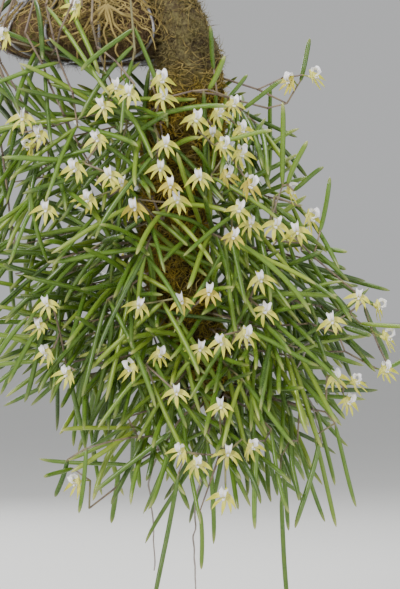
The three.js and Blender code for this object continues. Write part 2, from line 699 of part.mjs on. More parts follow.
class Skin {
  constructor() {
    this.points = [];
    this.faces = [];
    this.free = new Map();
  }

  // A ring of four, with one side facing a given way, or with a corner towards a given point
  ring(centre, way, radius, { facing, corner }) {
    const wish = facing || sub(corner, centre);
    const across = unit(sub(wish, mul(way, dot(wish, way))));
    const upward = cross(way, across);
    const start = facing ? -Math.PI / SIDES : 0;
    return Array.from({ length: SIDES }, (_, k) => {
      const turn = start + (k * 2 * Math.PI) / SIDES;
      const spoke = add(mul(across, Math.cos(turn)), mul(upward, Math.sin(turn)));
      return this.point(add(centre, mul(spoke, radius)));
    });
  }

  point(at) {
    this.points.push(at);
    return this.points.length - 1;
  }

  // The same ring, started at the corner that lies nearest to another ring's first corner
  matched(ring, other, way) {
    const flat = (index, centre) => {
      const v = sub(this.points[index], centre);
      return sub(v, mul(way, dot(v, way)));
    };
    const middle = (r) => mul(r.map((i) => this.points[i]).reduce(add), 1 / r.length);
    const goal = flat(other[0], middle(other));
    const centre = middle(ring);
    const turns = ring.map((_, k) => dot(flat(ring[k], centre), goal));
    const first = turns.indexOf(Math.max(...turns));
    return [...ring.slice(first), ...ring.slice(0, first)];
  }

  wall(a, b) {
    a.forEach((_, k) => {
      const next = (k + 1) % a.length;
      this.faces.push([a[k], a[next], b[next]], [a[k], b[next], b[k]]);
    });
  }

  // Four faces that something may leave by, kept open until they are used or closed
  collar(joint, a, b) {
    this.free.set(joint, a.map((_, k) => [a[k], a[(k + 1) % SIDES], b[(k + 1) % SIDES], b[k]]));
  }

  takeFace(joint, way) {
    const quads = this.free.get(joint);
    const facing = quads.map(([p, q, r, s]) => {
      const [a, b, c, d] = [p, q, r, s].map((i) => this.points[i]);
      return dot(unit(cross(sub(c, a), sub(d, b))), way);
    });
    return quads.splice(facing.indexOf(Math.max(...facing)), 1)[0];
  }

  close(quad) {
    this.faces.push([quad[0], quad[1], quad[2]], [quad[0], quad[2], quad[3]]);
  }

  // Joins two rings of any number of corners, going round both at the same pace
  bridge(a, b) {
    const reach = (i, j) => size(sub(this.points[i], this.points[j]));
    let shift = 0;
    b.forEach((index, k) => {
      if (reach(a[0], index) < reach(a[0], b[shift])) shift = k;
    });
    const far = [...b.slice(shift), ...b.slice(0, shift)];
    let i = 0;
    let j = 0;
    while (i < a.length || j < far.length) {
      const p = a[i % a.length];
      const q = far[j % far.length];
      const nextP = a[(i + 1) % a.length];
      const nextQ = far[(j + 1) % far.length];
      if ((i + 1) / a.length <= (j + 1) / far.length) {
        this.faces.push([p, nextP, q]);
        i += 1;
      } else {
        this.faces.push([p, nextQ, q]);
        j += 1;
      }
    }
  }

  fan(ring, tip) {
    ring.forEach((index, k) => this.faces.push([index, ring[(k + 1) % ring.length], tip]));
  }
}

function skinRun(skin, tree, run, first) {
  let ring = first;
  let at = run.from.at;
  run.joints.forEach((joint, i) => {
    const before = unit(sub(joint.at, at));
    const last = i === run.joints.length - 1;
    const after = last ? before : unit(sub(run.joints[i + 1].at, joint.at));
    if (last && run.bloom) {
      ring = skinTo(skin, ring, joint.at, before, run.radius);
      skinBloom(skin, ring, run.bloom);
      return;
    }
    const collared = joint.sprouts.length > 0;
    const turned = dot(before, after) < 0.94;
    if (collared || turned) {
      const thick = run.radius * (collared ? 1.25 : 1);
      const facing = joint.sprouts[0];
      const low = add(joint.at, mul(before, -COLLAR));
      const high = add(joint.at, mul(after, COLLAR));
      const lowRing = facing
        ? skin.matched(skin.ring(low, before, thick, { facing }), ring, before)
        : skin.ring(low, before, thick, { corner: skin.points[ring[0]] });
      skin.wall(ring, lowRing);
      const highRing = skin.ring(high, after, thick, { corner: skin.points[lowRing[0]] });
      if (collared) skin.collar(joint, lowRing, highRing);
      else skin.wall(lowRing, highRing);
      ring = highRing;
    } else {
      ring = skinTo(skin, ring, joint.at, unit(add(before, after)), run.radius);
    }
    if (last) {
      const leaf = tree.leaves.find((one) => one.terminal && one.joint === joint);
      if (leaf) skinLeaf(skin, ring, leaf);
      else skin.close(ring);
    }
    at = joint.at;
  });
}

function skinTo(skin, ring, centre, way, radius) {
  const next = skin.ring(centre, way, radius, { corner: skin.points[ring[0]] });
  skin.wall(ring, next);
  return next;
}

function skinLeaf(skin, first, { joint, tip, bow }) {
  const line = leafLine(joint.at, tip, bow);
  let ring = first;
  [[1, LEAF_RADIUS], [2, 0.92 * LEAF_RADIUS]].forEach(([i, radius]) => {
    ring = skinTo(skin, ring, line[i], unit(sub(line[i + 1], line[i - 1])), radius);
  });
  skin.fan(ring, skin.point(tip));
}

// A bloom is one star: a flat hub whose six sides run out into the tepals and the chin,
// whose front rises into the lip and whose back runs into the pedicel.
const HUB_RADIUS = 3;
const HUB_HALF = 1.3;
const LIP_RADIUS = 2.1;
const HUB_CORNERS = [-140, -106, -74, -40, 35, 145].map((degrees) => (degrees * Math.PI) / 180);

function skinBloom(skin, pedicel, bloom) {
  const to = (p) => skin.point(bloomPoint(bloom, p));
  const hub = (forward) => HUB_CORNERS.map((turn) => to(
    [HUB_RADIUS * Math.cos(turn), forward, HUB_RADIUS * Math.sin(turn)],
  ));
  const back = hub(-HUB_HALF);
  const front = hub(HUB_HALF);
  skin.bridge(pedicel, back);
  SPIKES.forEach((tip, k) => {
    const next = (k + 1) % SPIKES.length;
    skin.fan([back[k], back[next], front[next], front[k]], to(tip));
  });
  const lip = [[-1, -1], [1, -1], [0, 1]].map(([side, up]) => to(
    [LIP_BEND[0] + side * LIP_RADIUS, LIP_BEND[1] - 0.5 * up, LIP_BEND[2] + 0.7 * up * LIP_RADIUS],
  ));
  skin.bridge(front, lip);
  skin.fan(lip, to(LIP_TIP));
}

const pegFacing = (way) => unit(cross(way, [0.3, 0.5, 0.8]));

function treeSkin(tree) {
  const skin = new Skin();
  const [inner, outer] = tree.peg;
  const way = unit(sub(outer, inner));
  const start = skin.ring(inner, way, PEG_RADIUS, { facing: pegFacing(way) });
  skin.close([...start].reverse());
  const foot = skinTo(skin, start, outer, way, PEG_RADIUS);
  tree.runs.forEach((run, n) => {
    const leave = unit(sub(run.joints[0].at, run.from.at));
    skinRun(skin, tree, run, n === 0 ? foot : skin.takeFace(run.from, leave));
  });
  for (const leaf of tree.leaves.filter((one) => !one.terminal)) {
    const line = leafLine(leaf.joint.at, leaf.tip, leaf.bow);
    skinLeaf(skin, skin.takeFace(leaf.joint, unit(sub(line[1], line[0]))), leaf);
  }
  for (const quads of skin.free.values()) quads.forEach((quad) => skin.close(quad));
  return indexed(skin.points, skin.faces);
}

function rootSolid({ lines }) {
  return Manifold.union(lines.map(({ points, radius }) => solidOf(
    tube(points, points.map(() => radius), 4),
  )));
}

// Meshes
const root = new THREE.Group();
root.name = 'dendrobium_in_basket';
const material = (color, roughness, metalness = 0) => new THREE.MeshStandardMaterial({
  color, roughness, metalness,
});

function addPiece(name, geometry, finish) {
  const piece = new THREE.Mesh(geometry, finish);
  piece.name = name;
  root.add(piece);
}

const galvanised = () => material(0x8d8f93, 0.45, 0.8);

// A lathe round the basket's axis from [radius, down] points
function turned(profile, segments) {
  const outline = profile.map(([radius, down]) => new THREE.Vector2(radius, -down));
  const geometry = new THREE.LatheGeometry(outline, segments);
  geometry.rotateX(Math.PI / 2);
  geometry.translate(0, 0, -HANGER_HEIGHT);
  return geometry;
}

// The basket's side from the rim to its base, moved inwards along its normals
const SIDE_STATIONS = [0, 10, 28, 41, BASE_DOWN];

function sideProfile(inset) {
  const line = SIDE_STATIONS.map((down) => [basketRadius(down), down]);
  return line.map(([radius, down], i) => {
    const [r0, d0] = line[Math.max(0, i - 1)];
    const [r1, d1] = line[Math.min(line.length - 1, i + 1)];
    const run = Math.hypot(r1 - r0, d1 - d0);
    const flat = i === line.length - 1;
    const normal = flat ? [0, -1] : [-(d1 - d0) / run, (r1 - r0) / run];
    return [radius + inset * normal[0], down + inset * normal[1]];
  });
}

const BASKET_SIDES = 18;
const RIM_STEPS = 24;
const LINER_INSET = RIB_WIRE + SEAT_GAP + 0.5;
const LINER_MOUTH = RIM_RADIUS - RIM_EYE_RADIUS - HANGER_WIRE - 2 * SEAT_GAP;

function linerGeometry() {
  const outer = sideProfile(LINER_INSET).slice(1);
  const inner = sideProfile(LINER_INSET + LINER_THICK).slice(1);
  const mouth = LINER_MOUTH;
  const lip = [[mouth, 5], [mouth, -LINER_LIP], [mouth - LINER_THICK, -LINER_LIP], [mouth - LINER_THICK, 5]];
  const base = [outer[outer.length - 1][1], inner[inner.length - 1][1]];
  return turned([[0, base[0]], ...outer.reverse(), ...lip, ...inner, [0, base[1]]], BASKET_SIDES);
}

// The filling: flush inside the liner, with a dome of moss above the rim
function moundGeometry() {
  const side = sideProfile(LINER_INSET + LINER_THICK + SEAT_GAP + 0.3).slice(1);
  const mouth = LINER_MOUTH - LINER_THICK - SEAT_GAP - 0.3;
  const dome = [0.98, 0.8, 0.45].map((share) => [
    mouth * share, -(MOUND_RISE - 1) * Math.sqrt(1 - (share * 0.9) ** 2),
  ]);
  const base = side[side.length - 1][1];
  return turned([[0, base], ...side.reverse(), [mouth, 5], ...dome, [0, -MOUND_RISE + 1]], BASKET_SIDES);
}

// Turns a closed geometry right side out, as one solid
function outward(geometry) {
  const solid = solidOf(geometry);
  if (solid.volume() > 0) return geometryOf(solid);
  const flipped = geometry.clone();
  flipped.index.array.reverse();
  return geometryOf(solidOf(flipped));
}

function addWires() {
  const profile = sideProfile(0);
  let frame = solidOf(new THREE.TorusGeometry(RIM_RADIUS, RIM_WIRE, 5, RIM_STEPS));
  frame = frame.add(solidOf(new THREE.TorusGeometry(BASE_RADIUS, RIB_WIRE, 4, RIB_COUNT))
    .translate([0, 0, -BASE_DOWN]));
  for (let n = 0; n < RIB_COUNT; n += 1) {
    const turn = (n * 2 * Math.PI) / RIB_COUNT;
    const line = profile.map(([radius, down]) => [radius * Math.cos(turn), radius * Math.sin(turn), -down]);
    frame = frame.add(solidOf(tube(line, line.map(() => RIB_WIRE), 4)));
  }
  addPiece('wire_frame', geometryOf(frame.translate([0, 0, -HANGER_HEIGHT])), galvanised());

  const ring = new THREE.TorusGeometry(RING_RADIUS, RING_WIRE, 6, 16);
  ring.rotateX(Math.PI / 2);
  ring.translate(...ringCentre);
  addPiece('hanging_ring', ring, galvanised());

  hangerLines().forEach(([top, foot], n) => {
    const way = unit(sub(foot, top));
    const eye = (centre, radius, tangent) => {
      const hoop = new THREE.TorusGeometry(radius, HANGER_WIRE, 4, 10);
      const turn = new THREE.Quaternion();
      turn.setFromUnitVectors(new THREE.Vector3(0, 0, 1), new THREE.Vector3(...tangent));
      hoop.applyQuaternion(turn);
      hoop.translate(...centre);
      return solidOf(hoop);
    };
    const ringSpoke = unit(sub(top, ringCentre));
    const ringTangent = unit(cross(ringSpoke, [0, 1, 0]));
    const rimTangent = unit(cross(foot.map((v, k) => (k === 2 ? 0 : v)), [0, 0, 1]));
    const start = add(top, mul(way, EYE_RADIUS));
    const end = add(foot, mul(way, -RIM_EYE_RADIUS));
    const shaft = solidOf(tube([start, end], [HANGER_WIRE, HANGER_WIRE], 6));
    const wire = Manifold.union([
      shaft, eye(top, EYE_RADIUS, ringTangent), eye(foot, RIM_EYE_RADIUS, rimTangent),
    ]);
    addPiece(`hanger_wire_${n + 1}`, geometryOf(wire), galvanised());
  });
}

const CORE_LUMPS = 6;

// The core: a lumpy tube that hugs the basket's side, which is cut from it with a seat gap
function coreBlank() {
  const points = [];
  const radii = [];
  CORE.forEach(([x, down, y, radius], i) => {
    points.push(place(x, down, y));
    radii.push(radius * 0.97);
    if (i < CORE_LUMPS) {
      points.push(place(...[0, 1, 2].map((k) => (CORE[i][k] + CORE[i + 1][k]) / 2)));
      radii.push(0.465 * (radius + CORE[i + 1][3]));
    }
  });
  const keepOut = RIB_WIRE + SEAT_GAP + 0.9;
  const side = [];
  for (let i = 0; i <= 9; i += 1) {
    const down = -MOUND_RISE + ((MOUND_RISE + BASE_DOWN) * i) / 9;
    side.push([Math.max(1, basketRadius(Math.min(down, BASE_DOWN - 0.01))) + keepOut, down]);
  }
  const envelope = turned([[0, -MOUND_RISE - keepOut], ...side, [BASE_RADIUS + 12, BASE_DOWN + keepOut],
    [0, BASE_DOWN + keepOut]], 2 * RIB_COUNT);
  return solidOf(tube(points, radii, 8)).subtract(solidOf(outward(envelope)));
}

// Cuts a plain square hole for each stem's peg, turned as the peg is
const PEG_PLAY = 0.3;

function drill(solid, trees, pegRadius) {
  const holes = trees.map((tree) => {
    const [inner, outer] = tree.peg;
    const way = unit(sub(outer, inner));
    const radius = pegRadius(tree) + PEG_PLAY;
    const [bottom, top] = [sub(inner, mul(way, SEAT_GAP)), add(outer, mul(way, 14))];
    if (tree.lines) return solidOf(tube([bottom, top], [radius, radius], SIDES));
    const skin = new Skin();
    const foot = skin.ring(bottom, way, radius, { facing: pegFacing(way) });
    skin.close([...foot].reverse());
    skin.close(skinTo(skin, foot, top, way, radius));
    return solidOf(indexed(skin.points, skin.faces));
  });
  return solid.subtract(Manifold.union(holes));
}

function buildAll() {
  addPiece('fibre_liner', outward(linerGeometry()), material(0x6b5334, 0.95));
  addWires();
  const { crown, aerial, sprays, stems } = layOutPlant();
  const pegRadius = (tree) => (tree === crown ? CROWN_STALK : PEG_RADIUS);
  const inMound = [crown];
  const inCore = [aerial];
  const sorted = [...FLOWER_SPRAYS, ...LEAFY_STEMS];
  [...sprays, ...stems].forEach((tree, n) => (sorted[n][0] === 'core' ? inCore : inMound).push(tree));
  const mound = drill(solidOf(outward(moundGeometry())), inMound, pegRadius);
  addPiece('moss_mound', geometryOf(mound), material(0x7a6a2f, 1));
  addPiece('moss_core', geometryOf(drill(coreBlank(), inCore, pegRadius)), material(0x74622c, 1));
  addPiece('crown_roots', geometryOf(rootSolid(crown)), material(0xb9a56a, 0.8));
  addPiece('aerial_roots', geometryOf(rootSolid(aerial)), material(0x9c8f98, 0.8));
  for (const tree of sprays) addPiece(tree.name, treeSkin(tree), material(0xe9e2a0, 0.5));
  for (const tree of stems) addPiece(tree.name, treeSkin(tree), material(0x5f7f2b, 0.4));
}

buildAll();

export default root;
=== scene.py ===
"""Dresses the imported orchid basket: fine leaves, stems, blooms, roots, moss, coir and wires.

A streaked rock orchid has grown out of and over a round hanging basket. Every piece stands where
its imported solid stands, in metres, with the origin where the hanging ring bears on its hook.
"""

import math

import bmesh
import bpy
import numpy as np
from bpy.props import FloatProperty, FloatVectorProperty, IntProperty, PointerProperty
from mathutils import Euler, Matrix, Vector, noise


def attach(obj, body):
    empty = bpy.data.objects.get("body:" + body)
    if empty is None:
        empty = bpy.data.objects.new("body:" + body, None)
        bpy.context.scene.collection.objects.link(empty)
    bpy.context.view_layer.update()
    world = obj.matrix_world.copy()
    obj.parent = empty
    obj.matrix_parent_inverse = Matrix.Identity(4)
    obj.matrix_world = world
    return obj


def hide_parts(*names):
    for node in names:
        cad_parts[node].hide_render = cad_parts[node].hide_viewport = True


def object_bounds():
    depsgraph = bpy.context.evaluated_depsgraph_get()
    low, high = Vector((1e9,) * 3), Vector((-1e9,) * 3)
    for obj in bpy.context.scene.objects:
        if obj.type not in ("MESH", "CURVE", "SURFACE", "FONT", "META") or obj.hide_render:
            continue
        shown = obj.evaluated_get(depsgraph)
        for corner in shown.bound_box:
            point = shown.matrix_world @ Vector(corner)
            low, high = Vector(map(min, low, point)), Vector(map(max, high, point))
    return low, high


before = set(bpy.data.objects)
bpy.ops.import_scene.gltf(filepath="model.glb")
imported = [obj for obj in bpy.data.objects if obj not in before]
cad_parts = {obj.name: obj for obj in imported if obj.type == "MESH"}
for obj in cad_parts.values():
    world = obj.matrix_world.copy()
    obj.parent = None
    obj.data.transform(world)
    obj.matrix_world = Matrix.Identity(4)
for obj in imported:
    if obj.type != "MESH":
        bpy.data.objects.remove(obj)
CAD_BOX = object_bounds()

bl_info = {
    "name": "Orchid in a hanging basket",
    "version": (1, 0, 0),
    "blender": (4, 5, 0),
    "location": "View3D > Sidebar > Orchid",
    "description": "Dresses the packed orchid basket with leaves, blooms, roots, moss and wires",
    "category": "Add Mesh",
}

MM = 0.001
TAU = 2 * math.pi


def colour_setting(name, description, default):
    return FloatVectorProperty(name=name, description=description, default=default, size=3,
                               min=0.0, max=1.0, subtype="COLOR")


def count_setting(name, description, default, most):
    return IntProperty(name=name, description=description, default=default, min=0, max=most)


def strength_setting(name, description, default, most):
    return FloatProperty(name=name, description=description, default=default, min=0.0, max=most)


class PlantSettings(bpy.types.PropertyGroup):
    """Sizes and colours of the orchid."""

    leaf_radius: FloatProperty(
        name="Leaf radius", description="Half the thickness of a pencil-shaped leaf",
        default=0.0019, min=0.001, max=0.004, subtype="DISTANCE", unit="LENGTH")
    fill_stems: count_setting("Inner stems", "Thin stems added between the packed ones", 62, 120)
    fill_leaves: count_setting(
        "Rounds of leaves", "How often each stem is offered one more leaf", 12, 20)
    leaf_dark: colour_setting("Old leaf", "Colour of the darkest leaves", (0.032, 0.080, 0.011))
    leaf_middle: colour_setting("Leaf", "Colour of most leaves", (0.115, 0.225, 0.022))
    leaf_light: colour_setting("Young leaf", "Colour of the yellowest leaves", (0.31, 0.42, 0.045))
    stem_tan: colour_setting("Dry stem", "Colour of the dry stem sheaths", (0.33, 0.25, 0.15))
    stem_grey: colour_setting("Bare stem", "Colour of the bare stems", (0.19, 0.15, 0.14))
    petal: colour_setting("Petal", "Colour of the sepals and petals", (0.68, 0.66, 0.045))
    stripe: colour_setting("Stripe", "Colour of the fine stripes on the petals", (0.34, 0.17, 0.05))
    lip: colour_setting("Lip", "Colour of the frilled lip", (1.0, 0.985, 1.0))
    root: colour_setting("Aerial root", "Colour of the free roots", (0.36, 0.29, 0.31))


class BasketSettings(bpy.types.PropertyGroup):
    """Sizes and colours of the basket and of what fills it."""

    moss_gold: colour_setting("Dry moss", "Colour of the dry golden moss", (0.62, 0.42, 0.06))
    moss_brown: colour_setting("Old moss", "Colour of old moss and fibre", (0.13, 0.075, 0.028))
    moss_green: colour_setting("Live moss", "Colour of the live moss", (0.17, 0.20, 0.035))
    coir: colour_setting("Coir", "Colour of the liner's coconut fibre", (0.17, 0.11, 0.06))
    old_root: colour_setting("Old root", "Colour of the old roots", (0.33, 0.25, 0.085))
    wire: colour_setting("Wire", "Colour of the galvanised wire", (0.36, 0.36, 0.40))
    mat_tufts: count_setting("Mat tufts", "Moss and fibre tufts on the hanging mat", 2450, 12000)
    mound_tufts: count_setting("Mound tufts", "Moss tufts in the basket's mouth", 1700, 12000)
    liner_fibres: count_setting("Liner fibres", "Loose fibres on the coir liner", 2000, 12000)


class StageSettings(bpy.types.PropertyGroup):
    """The floor, the lights and the camera."""

    floor_drop: FloatProperty(
        name="Floor drop", description="Room between the plant's lowest tip and the floor",
        default=0.06, min=0.0, max=1.0, subtype="DISTANCE", unit="LENGTH")
    floor_colour: colour_setting("Floor", "Colour of the floor", (0.78, 0.78, 0.76))
    key_power: strength_setting("Key light", "Power of the main light", 44.0, 500.0)
    fill_power: strength_setting("Fill light", "Power of the fill light", 13.0, 500.0)
    sky: strength_setting("Sky", "Strength of the even light from all round", 0.55, 5.0)


# The plant's growth rule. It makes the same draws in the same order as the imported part, so that
# each fine stem, leaf and bloom lies where its solid lies. Millimetres; heights are told as
# "down", the distance below the basket's rim.
HANGER_HEIGHT = 240.0
RIM_RADIUS = 66.0
BELLY_RADIUS = 84.0
BELLY_DOWN = 28.0
BASE_RADIUS = 30.0
BASE_DOWN = 47.0
MOUND_RISE = 26.0
RIM_WIRE = 1.6
RIB_WIRE = 1.3
RIB_COUNT = 12
HANGER_WIRE = 1.0
HANGER_COUNT = 3
EYE_RADIUS = 3.6
RIM_EYE_RADIUS = 3.1
RING_RADIUS = 13.0
RING_WIRE = 2.0
SEAT_GAP = 0.3
RING_EYE_TURN = 24
RING_SLOTS = (1, -1, 0)
RING_EYE_DROP = EYE_RADIUS - HANGER_WIRE - RING_WIRE - SEAT_GAP
RIM_EYE_LIFT = RIM_EYE_RADIUS - HANGER_WIRE - RIM_WIRE - SEAT_GAP
RING_CENTRE = (0.0, 0.0, RING_WIRE - RING_RADIUS)

LEAF_RADIUS = 1.9
LEAF_LENGTH = (58, 100)
LEAVES_PER_STEM = 8
STEM_RADIUS = 1.0
SPRAY_DROP = 22
TWIG_RADIUS = 0.8
ROOT_RADIUS = 1.3
CROWN_STALK = 2.6
INTERNODE = 23
STEM_SHARE = 0.8
PEG_DEPTH = 8
PEG_STUB = 3.5
LEAF_NECK = 6
MOST_RODS = 32768
CLEARANCE = 0.45
PLANT_Y = -20
DEEPEST = 105
DEPTH_SHARE = 0.44
SEED = 20417

VIEW_DISTANCE = 2400
VIEW_X = 78
VIEW_DOWN = 232

SOLID = "basket and core"

# The clump's outline from the front: down, leftmost x, rightmost x
OUTLINE = [
  [0, -100, 60], [21, -106, 70], [45, -110, 108], [77, -114, 150], [157, -118, 176],
  [197, -118, 196], [237, -118, 224], [269, -114, 238], [301, -104, 228], [333, -80, 200],
  [365, -48, 194], [397, -34, 186], [421, -6, 174], [453, 38, 150], [480, 70, 146],
]

# The hanging core of moss and old roots: x, down, y, radius
CORE = [
  [37, -17, -37, 13], [53, -5, -53, 15], [64, 22, -63, 18], [70, 52, -56, 23],
  [68, 84, -46, 30], [64, 118, -38, 30], [58, 160, -30, 25], [58, 210, -26, 24],
  [72, 258, -24, 19], [88, 296, -22, 14], [97, 322, -20, 9],
]

# Leafy stems: foot, end x, end down, end depth from -1 at the front to 1 at the back
LEAFY_STEMS = [
  ["core", 124, 96, -0.35], ["core", 150, 158, -0.3], ["core", 166, 204, -0.5],
  ["core", 196, 246, -0.15], ["core", 186, 262, -0.6], ["core", 158, 282, -0.7],
  ["core", 172, 326, -0.3], ["core", 138, 338, -0.75], ["core", 112, 300, -0.95],
  ["core", 84, 346, -0.5], ["core", 56, 340, -0.85], ["core", 20, 330, -0.5],
  ["core", -14, 290, -0.4], ["core", 4, 236, -0.85], ["core", 34, 200, -1],
  ["core", 102, 190, -0.98], ["core", -30, 216, -0.3], ["core", 120, 150, 0.75],
  ["core", 164, 240, 0.6], ["core", 120, 312, 0.75], ["core", 46, 300, 0.8],
  ["core", 0, 240, 0.7], ["core", 60, 180, 0.95], [222, -58, 112, -0.5],
  [195, -74, 170, -0.1], [252, -20, 98, -0.9], [278, 14, 118, -0.8],
  [150, -44, 150, 0.6], [75, 30, 110, 0.9],
]

# Flower sprays: foot, then each bloom's x and down, and its turn to the right where it is known
FLOWER_SPRAYS = [
  [235, [-78, 26], [-21, 3]],
  [268, [1, 82], [10, 67], [22, 71]],
  ["core", [46, 61], [48, 75], [50, 112], [46, 131]],
  [208, [-64, 91], [-50, 105], [-57, 114], [-45, 164]],
  [244, [-3, 108], [-21, 131], [6, 137], [16, 144], [-11, 156]],
  ["core", [74, 92], [92, 88], [88, 103], [104, 80], [111, 101], [96, 114]],
  ["core", [54, 145], [60, 157], [26, 162]],
  ["core", [78, 138], [99, 137], [110, 120], [117, 145]],
  ["core", [108, 165], [118, 176], [104, 186]],
  ["core", [150, 150, 75], [156, 182, 0], [166, 171, 60], [138, 177]],
  ["core", [150, 62, -60], [169, 58, 60]],
  ["core", [126, 220], [129, 246], [114, 264], [96, 270], [78, 276]],
  ["core", [85, 231, 0], [64, 238], [29, 241]],
  ["core", [-44, 240], [-50, 258], [-44, 279], [-28, 296]],
  ["core", [24, 292], [45, 280], [59, 311]],
  ["core", [184, 254, 10], [205, 235, 0], [220, 242, 75], [227, 267, 60], [226, 293, 20]],
  ["core", [186, 299], [202, 303], [196, 318]],
  ["core", [95, 322], [100, 360], [119, 354], [98, 394], [63, 358], [75, 368]],
  ["core", [-20, 383]],
  ["core", [110, 140, None, 1], [150, 190, None, 1], [80, 210, None, 1], [140, 250, None, 1]],
  ["core", [20, 200, None, 1], [-10, 260, None, 1], [60, 290, None, 1], [110, 300, None, 1]],
]

# Leaves that make the outline: base x, base down, tip x, tip down
OUTLINE_LEAVES = [
  [158, 62, 166, 27], [89, 52, 86, 17], [85, 68, 98, 41], [110, 82, 122, 45], [101, 74, 116, 56],
  [112, 84, 144, 60], [118, 101, 148, 73], [144, 145, 144, 78], [139, 116, 110, 86],
  [93, 110, 136, 101], [148, 144, 164, 109], [153, 149, 177, 130], [147, 118, 174, 134],
  [174, 182, 182, 138], [123, 182, 163, 153], [159, 191, 196, 198], [159, 197, 195, 212],
  [141, 211, 176, 197], [164, 211, 230, 229], [206, 255, 243, 258], [193, 258, 215, 265],
  [229, 290, 243, 283], [174, 237, 204, 250], [156, 244, 192, 291], [95, 286, 126, 299],
  [134, 265, 150, 329], [186, 335, 203, 402], [170, 345, 187, 418], [156, 349, 178, 414],
  [174, 347, 154, 419], [150, 349, 157, 397], [130, 349, 140, 393], [143, 362, 149, 421],
  [143, 392, 149, 484], [124, 349, 122, 420], [78, 412, 130, 410], [78, 405, 79, 452],
  [61, 374, 40, 484], [28, 345, 30, 387], [43, 345, 35, 381], [13, 373, 7, 415],
  [-1, 369, 2, 418], [-4, 372, -9, 414], [-13, 355, -19, 407], [-24, 371, -47, 378],
  [-28, 364, -38, 394], [22, 213, -11, 222], [-31, 220, -80, 207], [26, 186, 43, 194],
  [43, 171, 68, 193], [-42, 133, -52, 156], [-60, 250, -98, 300], [-70, 200, -104, 244],
]

# Old roots over the basket's front, from the root crown
CROWN = [6, 9]
CROWN_DEPTH = -90
CROWN_ROOTS = [
  [[12, 37], [13, 48], [20, 65]], [[30, 10], [42, 14]], [[38, 21], [45, 37]],
  [[-10, 18], [-19, 33], [-20, 44]], [[2, 30], [4, 48], [1, 62]], [[-20, 24], [-44, 30], [-66, 38]],
  [[20, 26], [27, 42]],
]

# Aerial roots that hang free below the core: x, down, y
AERIAL_ROOTS = [
  [[100, 348, -24], [82, 366, -30], [74, 400, -30], [73, 440, -26], [75, 478, -26]],
  [[120, 300, -40], [163, 270, -52], [150, 298, -50], [166, 317, -48], [174, 350, -44]],
  [[84, 340, -10], [48, 352, -16], [37, 376, -20], [41, 420, -20], [42, 452, -18]],
]

CORE_STEPS = 4
LEAF_SHARES = (0, 0.1, 0.84, 1)
SPIKES = ((-6.8, 7, -8.8), (0, 5.5, -11), (6.8, 7, -8.8), (11.5, 6.5, -3.5), (0, -3, 6.5),
          (-11.5, 6.5, -3.5))
LIP_BEND = (0, 5.2, 2.6)
LIP_TIP = (0, 4.6, 8)
PEDICEL_FOOT = (0, -4.5, 1)

# What only the fine plant needs: the picture's height on the plane of the basket's axis, the
# liner's wall and lip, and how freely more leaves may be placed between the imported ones.
FRAME_HEIGHT = 471.2
LINER_THICK = 6.4
LIP_INSET = RIM_EYE_RADIUS + HANGER_WIRE + 2 * SEAT_GAP
FILL_SPARE = -0.5
FILL_SWAY = 1.35
THIN_FROM, THIN_BY = 290, 380
HEART_X, HEART_DOWN = 54, 205
HEART_WIDE, HEART_HIGH = 34, 40
FINE_SHARES = (0, 0.06, 0.2, 0.4, 0.6, 0.8, 0.92, 1)


def add(a, b):
    return (a[0] + b[0], a[1] + b[1], a[2] + b[2])


def sub(a, b):
    return (a[0] - b[0], a[1] - b[1], a[2] - b[2])


def mul(a, k):
    return (a[0] * k, a[1] * k, a[2] * k)


def dot(a, b):
    return a[0] * b[0] + a[1] * b[1] + a[2] * b[2]


def cross(a, b):
    return (a[1] * b[2] - a[2] * b[1], a[2] * b[0] - a[0] * b[2], a[0] * b[1] - a[1] * b[0])


def size(a):
    return math.sqrt(dot(a, a))


def unit(a):
    return mul(a, 1 / size(a))


def mix(a, b, t):
    return add(mul(a, 1 - t), mul(b, t))


def clamp(v):
    return min(1.0, max(0.0, v))


class Draws:
    """Draws in 0..1 that are the same on every machine."""

    def __init__(self, seed):
        self.state = seed

    def draw(self):
        self.state = (self.state * 1664525 + 1013904223) % 4294967296
        return self.state / 4294967296

    def between(self, low, high):
        return low + (high - low) * self.draw()

    def any_way(self):
        return (self.between(-1, 1), self.between(-1, 1), self.between(-1, 1))


def place(x, down, y):
    return (x, y, -HANGER_HEIGHT - down)


def down_of(point):
    return -HANGER_HEIGHT - point[2]


def seen(x, down, y):
    """The point at depth y that the viewer sees at x and down on the plane of the basket's axis."""
    near = (VIEW_DISTANCE + y) / VIEW_DISTANCE
    return place(VIEW_X + (x - VIEW_X) * near, VIEW_DOWN + (down - VIEW_DOWN) * near, y)


def outline_at(down):
    """Leftmost and rightmost x of the clump at a height."""
    row = 1
    while row < len(OUTLINE) - 1 and OUTLINE[row][0] < down:
        row += 1
    d0, l0, r0 = OUTLINE[row - 1]
    d1, l1, r1 = OUTLINE[row]
    t = clamp((down - d0) / (d1 - d0))
    return l0 + (l1 - l0) * t, r0 + (r1 - r0) * t


def depth_at(x, down):
    """How far the clump reaches to the front and back of its middle plane."""
    left, right = outline_at(down)
    off = (2 * x - left - right) / (right - left)
    around = math.sqrt(max(0.06, 1 - off * off))
    return min(DEEPEST, DEPTH_SHARE * (right - left)) * around


def basket_radius(down):
    """Radius of the basket, with its mound of moss, at a height."""
    if down < -MOUND_RISE or down > BASE_DOWN:
        return 0.0
    if down < 0:
        return RIM_RADIUS * math.sqrt(1 - (down / MOUND_RISE) ** 2)
    if down < BELLY_DOWN:
        swell = math.sin((math.pi / 2) * (down / BELLY_DOWN))
        return RIM_RADIUS + (BELLY_RADIUS - RIM_RADIUS) * swell
    fall = (down - BELLY_DOWN) / (BASE_DOWN - BELLY_DOWN)
    return BASE_RADIUS + (BELLY_RADIUS - BASE_RADIUS) * math.sqrt(1 - fall * fall)


